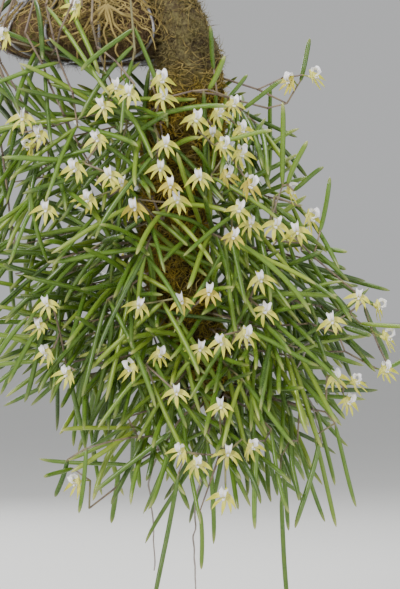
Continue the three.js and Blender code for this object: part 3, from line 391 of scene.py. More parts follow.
def passing_reach(x, down, room):
    """How far in front of the basket's axis something must be to pass the basket."""
    low = min(BELLY_DOWN, max(0, down))
    if down > BASE_DOWN + room:
        return 0.0
    return math.sqrt(max(0.0, (basket_radius(low) + room) ** 2 - x * x))


class Rods:
    """All that is placed so far, as straight rods with an owner and a radius."""

    def __init__(self, room):
        self.count = 0
        self.owners = {}
        self.owner = np.zeros(room, int)
        self.start = np.zeros((room, 3))
        self.span = np.zeros((room, 3))
        self.span2 = np.zeros(room)
        self.radius = np.zeros(room)

    def owner_id(self, owner):
        return self.owners.setdefault(owner, len(self.owners))

    def put(self, owner, points, radius):
        for p, q in zip(points, points[1:]):
            n = self.count
            self.owner[n] = self.owner_id(owner)
            self.start[n] = p
            self.span[n] = sub(q, p)
            self.span2[n] = dot(self.span[n], self.span[n])
            self.radius[n] = radius
            self.count += 1

    def gaps(self, p, q):
        """Distances from the rod p to q to every rod that is placed."""
        n = self.count
        start, span, l2 = self.start[:n], self.span[:n], self.span2[:n]
        d1 = np.array(sub(q, p))
        r = np.array(p) - start
        l1 = dot(d1, d1)
        f = span[:, 0] * r[:, 0] + span[:, 1] * r[:, 1] + span[:, 2] * r[:, 2]
        c = d1[0] * r[:, 0] + d1[1] * r[:, 1] + d1[2] * r[:, 2]
        k = d1[0] * span[:, 0] + d1[1] * span[:, 1] + d1[2] * span[:, 2]
        flat = l1 * l2 - k * k
        apart = flat > 1e-9
        s = np.where(apart, np.clip((k * f - c * l2) / np.where(apart, flat, 1), 0, 1), 0)
        t = (k * s + f) / l2
        s = np.where(t < 0, np.clip(-c / l1, 0, 1), s)
        s = np.where(t > 1, np.clip((k - c) / l1, 0, 1), s)
        t = np.clip(t, 0, 1)
        away = (np.array(p) + d1 * s[:, None]) - (start + span * t[:, None])
        return np.sqrt(away[:, 0] ** 2 + away[:, 1] ** 2 + away[:, 2] ** 2)


def clears_basket(p, q, radius):
    """True when a rod stays out of the basket and its mound."""
    for i in range(7):
        m = mix(p, q, i / 6)
        down = down_of(m)
        grown = min(BASE_DOWN, max(-MOUND_RISE, down))
        reach = radius + RIM_WIRE + 1
        if abs(down - grown) < reach and math.hypot(m[0], m[1]) < basket_radius(grown) + reach:
            return False
    return True


def leaf_line(base, tip, bow, shares=LEAF_SHARES):
    """Points along a bowed leaf, at shares of its length."""
    middle = add(mix(base, tip, 0.5), bow)
    return [mix(mix(base, middle, t), mix(middle, tip, t), t) for t in shares]


def past_start(points, stretch):
    """The rest of a line after a first short stretch."""
    first = sub(points[1], points[0])
    return [add(points[0], mul(first, min(0.9, stretch / size(first))))] + list(points[1:])


def turns_gently(points, first_way):
    """True when no stretch of a line turns back on the one before it."""
    way = first_way
    for p, q in zip(points, points[1:]):
        following = unit(sub(q, p))
        if way and dot(way, following) < 0:
            return False
        way = following
    return True


def ring_point(n):
    """The middle of a hanger wire's eye on the ring."""
    turn = (-90 + RING_SLOTS[n] * RING_EYE_TURN) * (math.pi / 180)
    reach = RING_RADIUS + RING_EYE_DROP
    return (reach * math.cos(turn), 0.0, RING_CENTRE[2] + reach * math.sin(turn))


def hanger_lines():
    """From the ring's foot to the rim, one line for each hanger wire."""
    lines = []
    for n in range(HANGER_COUNT):
        turn = ((n + 0.5 * (HANGER_COUNT / RIB_COUNT)) * 2 * math.pi) / HANGER_COUNT
        across, inward = RIM_RADIUS * math.cos(turn), RIM_RADIUS * math.sin(turn)
        lines.append((ring_point(n), (across, inward, RIM_EYE_LIFT - HANGER_HEIGHT)))
    return lines


class Joint:
    """A place on a stem from which leaves and twigs can leave."""

    def __init__(self, at, ahead):
        self.at = at
        self.ahead = ahead
        self.sprouts = []

    def may_leave(self, way):
        along = dot(way, self.ahead)
        if abs(along) > STEM_SHARE:
            return False
        side = unit(sub(way, mul(self.ahead, along)))
        return all(dot(side, other) < 0.17 for other in self.sprouts)

    def note(self, way):
        self.sprouts.append(unit(sub(way, mul(self.ahead, dot(way, self.ahead)))))


class Bloom:
    """A bloom's place and the ways it faces."""

    def __init__(self, centre, turn, nod, scale):
        self.centre = centre
        self.ahead = (math.sin(turn) * math.cos(nod), -math.cos(turn) * math.cos(nod),
                      -math.sin(nod))
        self.right = (math.cos(turn), math.sin(turn), 0)
        self.above = cross(self.ahead, self.right)
        self.scale = scale

    def point(self, part):
        side, forward, up = part
        flat = add(mul(self.right, side * self.scale), mul(self.ahead, forward * self.scale))
        return add(self.centre, add(flat, mul(self.above, up * self.scale)))

    def rods(self):
        spread = [([self.centre, self.point(tip)], 1.8) for tip in SPIKES]
        return spread + [([self.centre, self.point(LIP_BEND), self.point(LIP_TIP)], 2.7)]


class Tree:
    """A stem system that grows from one foot."""

    def __init__(self, name, foot, rods):
        at, out, _ = foot
        outer = add(at, mul(out, PEG_STUB))
        self.name = name
        self.rods = rods
        self.peg = (sub(at, mul(out, PEG_DEPTH)), outer)
        self.joints = [Joint(outer, out)]
        self.runs = []
        self.leaves = []
        self.fill_leaves = []
        self.blooms = []

    def keep_run(self, origin, points, radius, bloom=None):
        joints = []
        for i, at in enumerate(points[1:]):
            before = unit(sub(at, points[i]))
            after = unit(sub(points[i + 2], at)) if i + 2 < len(points) else before
            joints.append(Joint(at, unit(add(before, after))))
        if self.runs:
            origin.note(unit(sub(points[1], points[0])))
        self.runs.append((points, radius, bloom))
        self.joints += joints[:-1] if bloom else joints
        self.rods.put(self.name, points, radius)


def wanted(base, tip):
    """How welcome one more leaf is: fewer hang low down or hide the middle of the mat."""
    middle = mix(base, tip, 0.5)
    down = down_of(middle)
    low = clamp((down - THIN_FROM) / (THIN_BY - THIN_FROM))
    heart = math.hypot((middle[0] - HEART_X) / HEART_WIDE, (down - HEART_DOWN) / HEART_HIGH)
    bare = 0.8 * clamp(1.5 - heart) if middle[1] < PLANT_Y - 30 else 0
    return 1 - max(0.9 * low, bare)


class Plant:
    """The whole plant, laid out in the order in which it takes its room."""

    def __init__(self):
        self.draws = Draws(SEED)
        self.rods = Rods(MOST_RODS)
        self.stations = [CORE[0]]
        for i in range(1, len(CORE)):
            for k in range(1, CORE_STEPS + 1):
                self.stations.append(tuple(
                    CORE[i - 1][n] + (v - CORE[i - 1][n]) * (k / CORE_STEPS)
                    for n, v in enumerate(CORE[i])))
        self.lay_out()

    def is_clear(self, owner, points, radius, from_mound=False, spare=CLEARANCE):
        """True when a chain of points clears every rod of another owner, and the basket."""
        rods = self.rods
        mine = -1 if owner is None else rods.owner_id(owner)
        for i in range(1, len(points)):
            p, q = points[i - 1], points[i]
            if not (from_mound and i == 1) and not clears_basket(p, q, radius):
                return False
            near = rods.gaps(p, q) < radius + rods.radius[:rods.count] + spare
            if np.any(near & (rods.owner[:rods.count] != mine)):
                return False
        return True

    def core_foot(self, target, sway):
        best = None
        for x, down, y, radius in self.stations[2 * CORE_STEPS + 1:]:
            axis = place(x, down, y)
            score = size(sub(target, axis)) + 0.5 * abs(target[2] - axis[2] + 25)
            score += sway * self.draws.draw()
            if best is None or score < best[0]:
                best = (score, axis, radius)
        _, axis, radius = best
        way = unit(sub(target, axis))
        between = self.draws.between
        out = unit((way[0] + between(-0.35, 0.35), way[1] + between(-0.35, 0.35),
                    0.3 * way[2]))
        return add(axis, mul(out, radius)), out, []

    def mound_foot(self, angle, target, sway):
        between = self.draws.between
        turn = ((angle + between(-sway, sway)) * math.pi) / 180

        def spoke(radius, rise):
            return (radius * math.cos(turn), radius * math.sin(turn), rise - HANGER_HEIGHT)

        radius = between(34, 48)
        rise = MOUND_RISE * math.sqrt(1 - (radius / RIM_RADIUS) ** 2)
        over = spoke(between(78, 84), between(12, 17))
        past = spoke(between(94, 94 + sway), -between(6, min(50, 0.4 * down_of(target))))
        return spoke(radius, rise), unit((math.cos(turn), math.sin(turn), 1.1)), [over, past]

    def kinked(self, start, end, spread):
        """A kinked line from one point to another."""
        count = max(1, math.floor(size(sub(end, start)) / INTERNODE + 0.5))
        points = [start]
        for i in range(1, count):
            points.append(add(mix(start, end, i / count), mul(self.draws.any_way(), spread)))
        return points + [end]

    def grow_tree(self, name, foot_kind, target, radius, limit=None):
        """Foot, peg and main stem towards a target, moved until it clears what is there."""
        rods = self.rods
        for attempt in range(limit or 600):
            goal = add(target, mul(self.draws.any_way(), 0.05 * attempt))
            if foot_kind == "core":
                foot = self.core_foot(goal, 0.5 * attempt)
            else:
                foot = self.mound_foot(foot_kind, goal, 10 + 0.1 * attempt)
            tree = Tree(name, foot, rods)
            outer = tree.peg[1]
            _, out, via = foot
            spread = 3 + 0.03 * attempt
            if via:
                points = [outer] + via[:-1] + self.kinked(via[-1], goal, spread)
            else:
                points = self.kinked(outer, goal, spread)
            if not turns_gently(points, out):
                continue
            gaps = rods.gaps(tree.peg[0], add(outer, out))
            solid = rods.owner[:rods.count] == rods.owner_id(SOLID)
            if not np.all(solid | (gaps > radius + rods.radius[:rods.count] + 3 * CLEARANCE)):
                continue
            if not self.is_clear(name, past_start(points, 1.5), radius, bool(via)):
                continue
            rods.put(name, tree.peg, radius)
            tree.keep_run(tree.joints[0], points, radius)
            return tree
        if limit:
            return None
        raise RuntimeError(f"no way out for {name}")

    def branch_to(self, tree, point, limit):
        """A line from the best joint of a tree to a point, or None."""
        near = sorted(tree.joints, key=lambda joint: size(sub(joint.at, point)))
        for attempt in range(limit):
            origin = near[min(len(near) - 1, attempt // 3)]
            points = self.kinked(origin.at, point, 2 + 0.3 * attempt)
            if origin is tree.joints[0] or not origin.may_leave(unit(sub(points[1], points[0]))):
                continue
            if not turns_gently(points, None) or not self.is_clear(tree.name, points, TWIG_RADIUS):
                continue
            if self.is_clear(None, past_start(points, 5), TWIG_RADIUS):
                return origin, points
        return None

    def outline_leaf(self, trees, leaf):
        """A leaf seen at a known place, on the stem nearest to its base from the front."""
        base_x, base_down, tip_x, tip_down = leaf
        best = None
        for tree in trees:
            for joint in tree.joints[1:]:
                x, _, z = seen(base_x, base_down, joint.at[1])
                off = math.hypot(joint.at[0] - x, joint.at[2] - z)
                off += 0.1 * max(0, joint.at[1] - PLANT_Y)
                if best is None or off < best[0]:
                    best = (off, tree, joint.at[1])
        _, tree, depth = best
        between = self.draws.between
        for attempt in range(160):
            y = depth + between(-0.25, 0.25) * attempt
            base = seen(base_x, base_down, y)
            tip = seen(tip_x, tip_down, y + between(-22, 14))
            bow = mul(self.draws.any_way(), 0.05 * size(sub(tip, base)))
            line = leaf_line(base, tip, bow)
            if not self.is_clear(None, past_start(line, LEAF_NECK), LEAF_RADIUS):
                continue
            twig = self.branch_to(tree, base, 12)
            if not twig:
                continue
            origin, points = twig
            if dot(unit(sub(points[-1], points[-2])), unit(sub(line[1], line[0]))) < 0.3:
                continue
            tree.keep_run(origin, points, TWIG_RADIUS)
            tree.leaves.append((tree.joints[-1], tip, bow))
            self.rods.put(tree.name, line, LEAF_RADIUS)
            return

    def grown_leaf(self, tree):
        """A leaf that the rule places: outward near the top of the clump, hanging lower down."""
        draws = self.draws
        for _ in range(60):
            count = len(tree.joints)
            joint = tree.joints[min(count - 1, 1 + math.floor(draws.draw() * (count - 1)))]
            base = joint.at
            tip, bow = self.leaf_wish(base)
            if tip is None:
                continue
            line = leaf_line(base, tip, bow)
            if not joint.may_leave(unit(sub(line[1], line[0]))):
                continue
            if not self.is_clear(tree.name, line, LEAF_RADIUS):
                continue
            if not self.is_clear(None, past_start(line, LEAF_NECK), LEAF_RADIUS):
                continue
            joint.note(unit(sub(line[1], line[0])))
            tree.leaves.append((joint, tip, bow))
            self.rods.put(tree.name, line, LEAF_RADIUS)
            return

    def leaf_wish(self, base, sway=0.85):
        """Tip and bow of a leaf that the rule would like at a base, or None for both."""
        draws = self.draws
        down = down_of(base)
        left, right = outline_at(down)
        out = ((base[0] - (left + right) / 2) / 90, (base[1] - PLANT_Y) / 70, 0)
        hang = -0.25 - 0.9 * clamp((down - 90) / 260)
        way = unit(add(add(mul(out, 0.9), (0, 0, hang)), mul(draws.any_way(), sway)))
        length = draws.between(*LEAF_LENGTH)
        tip = add(base, mul(way, length))
        tip_down = down_of(tip)
        tip_left, tip_right = outline_at(tip_down)
        inside = (tip_left < tip[0] < tip_right and 20 < tip_down < OUTLINE[-1][0]
                  and abs(tip[1] - PLANT_Y) < depth_at(tip[0], tip_down) + 6)
        if not inside:
            return None, None
        bend = 0.04 if sway < 1 else 0.09
        return tip, add(mul(draws.any_way(), bend * length), (0, 0, 0.05 * length))

    def place_bloom(self, tree, wish):
        """A bloom seen at a known place, with its pedicel and the twig that carries it."""
        x, down = wish[:2]
        known_turn = wish[2] if len(wish) > 2 else None
        back = len(wish) > 3
        left, right = outline_at(down)
        off = (2 * x - left - right) / (right - left)
        side = 1 if back else -1
        between = self.draws.between
        for attempt in range(150):
            share = between(0.72, 0.98) - 0.002 * attempt
            y = PLANT_Y + side * depth_at(x, down) * share
            if not back:
                y = min(y, -passing_reach(x, down, 28) + 0.2 * attempt * between(-1, 0.1))
            if known_turn is None:
                facing = (55 * off + between(-30, 30)) * (math.pi / 180)
            else:
                facing = (known_turn + between(-8, 8)) * (math.pi / 180)
            turn = math.pi - facing if back else facing
            bloom = Bloom(seen(x, down, y), turn, between(-0.1, 0.35), between(0.88, 1.05))
            foot = bloom.point(PEDICEL_FOOT)
            joint = bloom.point((between(-3, 3), between(-13, -10), between(-4, 6)))
            stretches = bloom.rods()
            if not all(self.is_clear(None, points, radius) for points, radius in stretches):
                continue
            twig = self.branch_to(tree, joint, 24)
            if not twig:
                continue
            origin, points = twig
            line = points + [foot]
            if not turns_gently(line, None) or not self.is_clear(None, [joint, foot], TWIG_RADIUS):
                continue
            twig_rods = Rods(len(points))
            twig_rods.put(tree.name, points, TWIG_RADIUS)
            if any(np.any(twig_rods.gaps(path[0], path[1]) < radius + TWIG_RADIUS + 0.3)
                   for path, radius in stretches):
                continue
            tree.keep_run(origin, line, TWIG_RADIUS, bloom)
            tree.blooms.append(bloom)
            for path, radius in stretches:
                self.rods.put(tree.name, path, radius)
            return True
        return False

    def root_lines(self, name, peg, peg_radius, lines):
        """Takes the room of a peg and its roots, and gives back all their lines."""
        lines = [(list(peg), peg_radius)] + lines
        for points, radius in lines:
            self.rods.put(name, points, radius)
        return lines

    def lay_out(self):
        """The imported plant: core, hangers, roots, sprays with their blooms, stems, leaves."""
        for (x0, d0, y0, r0), (x1, d1, y1, r1) in zip(self.stations, self.stations[1:]):
            self.rods.put(SOLID, [place(x0, d0, y0), place(x1, d1, y1)], max(r0, r1))
        for line in hanger_lines():
            self.rods.put(SOLID, line, EYE_RADIUS)
        self.crown = self.lay_out_crown()
        self.aerial = self.lay_out_aerial()
        self.sprays = []
        for n, (foot, *blooms) in enumerate(FLOWER_SPRAYS):
            x = sum(bloom[0] for bloom in blooms) / len(blooms)
            down = sum(bloom[1] for bloom in blooms) / len(blooms)
            depth = depth_at(x, down) * (0.55 if len(blooms[0]) > 3 else -0.55)
            middle = seen(x, down + SPRAY_DROP, PLANT_Y + depth)
            goal = mix(middle, place(60, down, PLANT_Y), 0.12)
            self.sprays.append(self.grow_tree(f"flower_spray_{n + 1}", foot, goal, STEM_RADIUS))
        for n, (_, *blooms) in enumerate(FLOWER_SPRAYS):
            for bloom in blooms:
                self.home_bloom(self.sprays[n], bloom)
        self.stems = []
        for n, (foot, x, down, depth) in enumerate(LEAFY_STEMS):
            goal = seen(x, down, PLANT_Y + depth * depth_at(x, down) * 0.72)
            self.stems.append(self.grow_tree(f"leafy_stem_{n + 1}", foot, goal, STEM_RADIUS))
        for leaf in OUTLINE_LEAVES:
            self.outline_leaf(self.stems + self.sprays, leaf)
        for _ in range(LEAVES_PER_STEM):
            for tree in self.stems:
                self.grown_leaf(tree)

    def home_bloom(self, own, bloom):
        """Places a bloom on its own spray, or else on one that is near to it."""
        goal = seen(bloom[0], bloom[1], PLANT_Y)

        def reach(tree):
            if tree is own:
                return 0
            return min(size(sub(joint.at, goal)) for joint in tree.joints)

        for tree in sorted(self.sprays, key=reach)[:4]:
            if self.place_bloom(tree, bloom):
                return
        raise RuntimeError(f"no room for the bloom at {bloom}")

    def lay_out_crown(self):
        x, down = CROWN
        out = unit((0, -1, 1))
        at = place(x, -19, -42)
        peg = (sub(at, mul(out, PEG_DEPTH)), add(at, mul(out, PEG_STUB)))
        knot = place(x, down, CROWN_DEPTH)
        lines = [([peg[1], place(x + 2, -19, -68), place(x, -10, -84), knot], CROWN_STALK)]
        for path in CROWN_ROOTS:
            points = [seen(px, pd, -passing_reach(px, min(pd, BELLY_DOWN), 5)) for px, pd in path]
            lines.append(([knot] + points, ROOT_RADIUS))
        return self.root_lines("crown_roots", peg, CROWN_STALK, lines)

    def lay_out_aerial(self):
        x, down, y, radius = CORE[-1]
        at = place(x, down + radius, y)
        peg = (add(at, (0, 0, PEG_DEPTH)), add(at, (0, 0, -PEG_STUB)))
        lines = [([peg[1]] + [place(*point) for point in path], 0.75 * ROOT_RADIUS)
                 for path in AERIAL_ROOTS]
        return self.root_lines("aerial_roots", peg, STEM_RADIUS + 0.3, lines)

    def fill_out(self, stem_count, rounds):
        """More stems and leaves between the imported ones, within the same outline."""
        draws = self.draws
        self.inner = []
        for n in range(stem_count):
            down = draws.between(70, 400)
            left, right = outline_at(down)
            x = left + (right - left) * draws.between(0.12, 0.88)
            depth = draws.between(-0.95, 0.9) * depth_at(x, down)
            goal = seen(x, down, PLANT_Y + depth * 0.8)
            tree = self.grow_tree(f"inner_stem_{n + 1}", "core", goal, TWIG_RADIUS, 30)
            if tree:
                self.inner.append(tree)
        trees = self.stems + self.inner + self.sprays
        for _ in range(rounds):
            for tree in trees:
                self.fill_leaf(tree)

    def fill_leaf(self, tree):
        """A leaf from anywhere along a stem, close by its neighbours but not through them."""
        draws = self.draws
        for _ in range(14):
            run = min(len(tree.runs) - 1, int(draws.draw() * len(tree.runs)))
            points, _, bloom = tree.runs[run]
            legs = len(points) - 1 - (2 if bloom else 0)
            share = draws.draw() * max(1, legs)
            leg = min(int(share), max(0, legs - 1))
            base = mix(points[leg], points[leg + 1], share - leg)
            tip, bow = self.leaf_wish(base, FILL_SWAY)
            if tip is None or draws.draw() > wanted(base, tip):
                continue
            line = leaf_line(base, tip, bow)
            if not self.is_clear(tree.name, line, LEAF_RADIUS, spare=FILL_SPARE):
                continue
            if self.is_clear(None, past_start(line, LEAF_NECK + 1), LEAF_RADIUS, spare=FILL_SPARE):
                tree.fill_leaves.append((base, tip, bow))
                self.rods.put(tree.name, line, LEAF_RADIUS)
                return


# Node trees
def add_sockets(tree, inputs, outputs):
    """Makes a node tree's named sockets: (name, kind, default or None)."""
    for name, kind, default in inputs:
        socket = tree.interface.new_socket(name, in_out="INPUT", socket_type="NodeSocket" + kind)
        if default is not None:
            socket.default_value = default
    for name, kind in outputs:
        tree.interface.new_socket(name, in_out="OUTPUT", socket_type="NodeSocket" + kind)


class Wiring:
    """Adds nodes to a tree and links them."""

    def __init__(self, tree):
        self.tree = tree

    def node(self, kind, inputs=None, **options):
        made = self.tree.nodes.new(kind)
        for name, value in options.items():
            setattr(made, name, value)
        for key, value in (inputs or {}).items():
            self.feed(made.inputs[key], value)
        return made

    def feed(self, socket, value):
        if isinstance(value, bpy.types.NodeSocket):
            self.tree.links.new(value, socket)
        elif isinstance(value, bpy.types.Node):
            self.tree.links.new(value.outputs[0], socket)
        else:
            socket.default_value = value

    def maths(self, operation, a, b=0.0):
        return self.node("ShaderNodeMath", {0: a, 1: b}, operation=operation).outputs[0]

    def times(self, a, b):
        return self.maths("MULTIPLY", a, b)

    def scaled(self, vector, factor):
        return self.node("ShaderNodeVectorMath", {0: vector, "Scale": factor},
                         operation="SCALE").outputs[0]

    def blend(self, share, a, b):
        """The second colour laid over the first by a share."""
        made = self.node("ShaderNodeMix", data_type="RGBA")
        for index, value in ((0, share), (6, a), (7, b)):
            if isinstance(value, (tuple, list)) or hasattr(value, "r"):
                value = (value[0], value[1], value[2], 1.0)
            self.feed(made.inputs[index], value)
        return made.outputs[2]

    def span(self, value, low, high, to_low=0.0, to_high=1.0):
        made = self.node("ShaderNodeMapRange", {0: value, 1: low, 2: high, 3: to_low, 4: to_high})
        return made.outputs[0]

    def noise(self, vector, scale, detail, rough=0.6):
        return self.node("ShaderNodeTexNoise", {
            "Vector": vector, "Scale": scale, "Detail": detail, "Roughness": rough}).outputs[0]

    def named(self, name, kind="FLOAT"):
        return self.node("GeometryNodeInputNamedAttribute", {"Name": name},
                         data_type=kind).outputs[0]

    def stored(self, geometry, name, value):
        return self.node("GeometryNodeStoreNamedAttribute", {
            "Geometry": geometry, "Name": name, "Value": value}, data_type="FLOAT", domain="POINT")

    def surface(self, name):
        return self.node("ShaderNodeAttribute", attribute_name=name).outputs["Fac"]


def geometry_tree(name, inputs):
    tree = bpy.data.node_groups.new(name, "GeometryNodeTree")
    add_sockets(tree, [("Geometry", "Geometry", None)] + inputs, [("Geometry", "Geometry")])
    wiring = Wiring(tree)
    return wiring, wiring.node("NodeGroupInput").outputs, wiring.node("NodeGroupOutput")


def finish_tree(wiring, geometry, material, end):
    """Every tree ends in plain faces with their material."""
    real = wiring.node("GeometryNodeRealizeInstances", {0: geometry})
    painted = wiring.node("GeometryNodeSetMaterial", {"Geometry": real, "Material": material})
    wiring.feed(end.inputs[0], painted)
    return wiring.tree


def smooth_curve(wiring, given):
    curve = wiring.node("GeometryNodeMeshToCurve", {0: given["Geometry"]})
    curve = wiring.node("GeometryNodeCurveSplineType", {0: curve}, spline_type="CATMULL_ROM")
    curve = wiring.node("GeometryNodeSetSplineResolution", {
        "Geometry": curve, "Resolution": given["Steps"]})
    return wiring.node("GeometryNodeResampleCurve", {"Curve": curve}, mode="EVALUATED")


def rod_tree():
    """Round rods along paths: each point's girth is its radius, roughened by a noise."""
    wiring, given, end = geometry_tree("Rods along paths", [
        ("Steps", "Int", 3), ("Sides", "Int", 8), ("Lumps", "Float", 0.0),
        ("Lump Scale", "Float", 400.0), ("Material", "Material", None)])
    curve = smooth_curve(wiring, given)
    return round_rods(wiring, given, end, curve, wiring.named("girth"))


def round_rods(wiring, given, end, curve, girth):
    """Faces of the rods, marked with the way round, their surface pushed in and out by a noise."""
    ring = wiring.node("GeometryNodeCurvePrimitiveCircle", {
        "Resolution": given["Sides"], "Radius": 1.0})
    turn = wiring.node("GeometryNodeSplineParameter").outputs["Factor"]
    ring = wiring.stored(ring, "around", turn)
    rods = wiring.node("GeometryNodeCurveToMesh", {
        "Curve": curve, "Profile Curve": ring, "Scale": girth, "Fill Caps": True})
    lumps = wiring.noise(wiring.node("GeometryNodeInputPosition"), given["Lump Scale"], 2.0)
    swell = wiring.times(wiring.maths("SUBTRACT", lumps, 0.5), given["Lumps"])
    push = wiring.scaled(wiring.node("GeometryNodeInputNormal"), swell)
    rods = wiring.node("GeometryNodeSetPosition", {"Geometry": rods, "Offset": push})
    rods = wiring.node("GeometryNodeSetShadeSmooth", {"Geometry": rods})
    return finish_tree(wiring, rods, given["Material"], end)


# A leaf's girth at shares of its length, between its foot's 0.34 and its tip's 0.1
LEAF_TAPER = ((0.03, 0.5), (0.11, 0.88), (0.4, 1.0), (0.8, 0.97), (0.92, 0.78), (0.975, 0.45))


def leaf_tree():
    """Pencil-shaped leaves along paths: a thin neck, an even barrel and a drawn-out tip."""
    wiring, given, end = geometry_tree("Pencil leaves", [
        ("Steps", "Int", 2), ("Sides", "Int", 8), ("Radius", "Float", 0.0019),
        ("Lumps", "Float", 0.0), ("Lump Scale", "Float", 200.0), ("Material", "Material", None)])
    curve = smooth_curve(wiring, given)
    taper = wiring.node("ShaderNodeFloatCurve", {"Value": wiring.named("along")})
    line = taper.mapping.curves[0]
    line.points[0].location = (0.0, 0.34)
    line.points[1].location = (1.0, 0.1)
    for share, girth in LEAF_TAPER:
        line.points.new(share, girth)
    taper.mapping.update()
    girth = wiring.times(wiring.times(taper.outputs[0], given["Radius"]), wiring.named("girth"))
    return round_rods(wiring, given, end, curve, girth)


TUFT_TILT = 0.7
TUFT_SMALLEST, TUFT_LARGEST = 0.55, 1.35


def scatter_tree():
    """Tufts on a surface, each turned and sized by a seeded draw."""
    wiring, given, end = geometry_tree("Tufts on a surface", [
        ("Tuft", "Object", None), ("Count", "Int", 1000), ("Area", "Float", 0.01),
        ("Sink", "Float", 0.001), ("Seed", "Int", 1), ("Material", "Material", None)])
    density = wiring.maths("DIVIDE", given["Count"], given["Area"])
    spots = wiring.node("GeometryNodeDistributePointsOnFaces", {
        "Mesh": given["Geometry"], "Density": density, "Seed": given["Seed"]})
    tilt = wiring.node("FunctionNodeRandomValue", {
        0: (-TUFT_TILT, -TUFT_TILT, 0.0), 1: (TUFT_TILT, TUFT_TILT, TAU), "Seed": given["Seed"]},
        data_type="FLOAT_VECTOR")
    turned = wiring.node("FunctionNodeRotateRotation", {0: spots.outputs["Rotation"], 1: tilt},
                         rotation_space="LOCAL")
    reach = wiring.node("FunctionNodeRandomValue", {
        2: TUFT_SMALLEST, 3: TUFT_LARGEST, "Seed": given["Seed"]}, data_type="FLOAT")
    tint = wiring.node("FunctionNodeRandomValue", {"Seed": given["Seed"]}, data_type="FLOAT")
    sunk = wiring.scaled(spots.outputs["Normal"], wiring.times(given["Sink"], -1.0))
    low = wiring.node("GeometryNodeSetPosition", {
        "Geometry": spots.outputs["Points"], "Offset": sunk})
    tuft = wiring.node("GeometryNodeObjectInfo", {"Object": given["Tuft"]})
    tufts = wiring.node("GeometryNodeInstanceOnPoints", {
        "Points": wiring.stored(low, "tint", tint.outputs[1]),
        "Instance": tuft.outputs["Geometry"], "Rotation": turned, "Scale": reach.outputs[1]})
    return finish_tree(wiring, tufts, given["Material"], end)


def bloom_tree():
    """Blooms on their stalks: each point has the bloom's kind, its turn and its size."""
    wiring, given, end = geometry_tree("Blooms on stalks", [
        ("Young Bloom", "Object", None), ("Open Bloom", "Object", None),
        ("Old Bloom", "Object", None), ("Material", "Material", None)])
    kinds = wiring.node("GeometryNodeGeometryToInstance")
    for name in ("Old Bloom", "Open Bloom", "Young Bloom"):
        shape = wiring.node("GeometryNodeObjectInfo", {"Object": given[name]})
        wiring.tree.links.new(shape.outputs["Geometry"], kinds.inputs[0])
    dots = wiring.node("GeometryNodeMeshToPoints", {0: given["Geometry"]})
    blooms = wiring.node("GeometryNodeInstanceOnPoints", {
        "Points": dots, "Instance": kinds, "Pick Instance": True,
        "Instance Index": wiring.named("kind", "INT"),
        "Rotation": wiring.named("turn", "FLOAT_VECTOR"), "Scale": wiring.named("size")})
    return finish_tree(wiring, blooms, given["Material"], end)


TREE_MAKERS = {"rods": rod_tree, "leaves": leaf_tree, "tufts": scatter_tree,
               "blooms": bloom_tree}
TREES = {}


def grown(name, mesh, tree_name, **inputs):
    """A plain mesh grown from a mesh by one of the geometry trees."""
    if tree_name not in TREES:
        TREES[tree_name] = TREE_MAKERS[tree_name]()
    tree = TREES[tree_name]
    seedling = bpy.data.objects.new(name + "_seedling", mesh)
    bpy.context.scene.collection.objects.link(seedling)
    modifier = seedling.modifiers.new("Growth", "NODES")
    modifier.node_group = tree
    sockets = {item.name: item.identifier
               for item in tree.interface.items_tree if item.in_out == "INPUT"}
    for key, value in inputs.items():
        modifier[sockets[key.replace("_", " ").title()]] = value
    view = bpy.context.view_layer
    view.update()
    result = bpy.data.meshes.new_from_object(seedling.evaluated_get(view.depsgraph))
    result.name = name
    bpy.data.objects.remove(seedling)
    bpy.data.meshes.remove(mesh)
    return result


# Shared shader groups
def patchy_group():
    """A soft mask in patches, with finer flecks worked into it."""
    tree = bpy.data.node_groups.new("Patchy tint", "ShaderNodeTree")
    add_sockets(tree, [("Vector", "Vector", None), ("Patch Scale", "Float", 60.0),
                       ("Fleck Scale", "Float", 600.0), ("Flecks", "Float", 0.4)],
                [("Mask", "Float")])
    wiring = Wiring(tree)
    given = wiring.node("NodeGroupInput").outputs
    patches = wiring.noise(given["Vector"], given["Patch Scale"], 3.0, 0.55)
    flecks = wiring.noise(given["Vector"], given["Fleck Scale"], 2.0, 0.5)
    off_middle = wiring.maths("SUBTRACT", flecks, 0.5)
    mask = wiring.maths("ADD", patches, wiring.times(off_middle, given["Flecks"]))
    wiring.feed(wiring.node("NodeGroupOutput").inputs[0], wiring.span(mask, 0.32, 0.68))
    return tree


def grain_group():
    """The height of a fine grain, for a bump: coarse lumps and fine grit."""
    tree = bpy.data.node_groups.new("Fine grain", "ShaderNodeTree")
    add_sockets(tree, [("Vector", "Vector", None), ("Lump Scale", "Float", 300.0),
                       ("Grit Scale", "Float", 2200.0), ("Grit", "Float", 0.35)],
                [("Height", "Float")])
    wiring = Wiring(tree)
    given = wiring.node("NodeGroupInput").outputs
    lumps = wiring.noise(given["Vector"], given["Lump Scale"], 4.0, 0.6)
    grit = wiring.noise(given["Vector"], given["Grit Scale"], 2.0, 0.6)
    height = wiring.maths("ADD", lumps, wiring.times(grit, given["Grit"]))
    wiring.feed(wiring.node("NodeGroupOutput").inputs[0], height)
    return tree


GROUP_MAKERS = {"patchy": patchy_group, "grain": grain_group}
GROUPS = {}


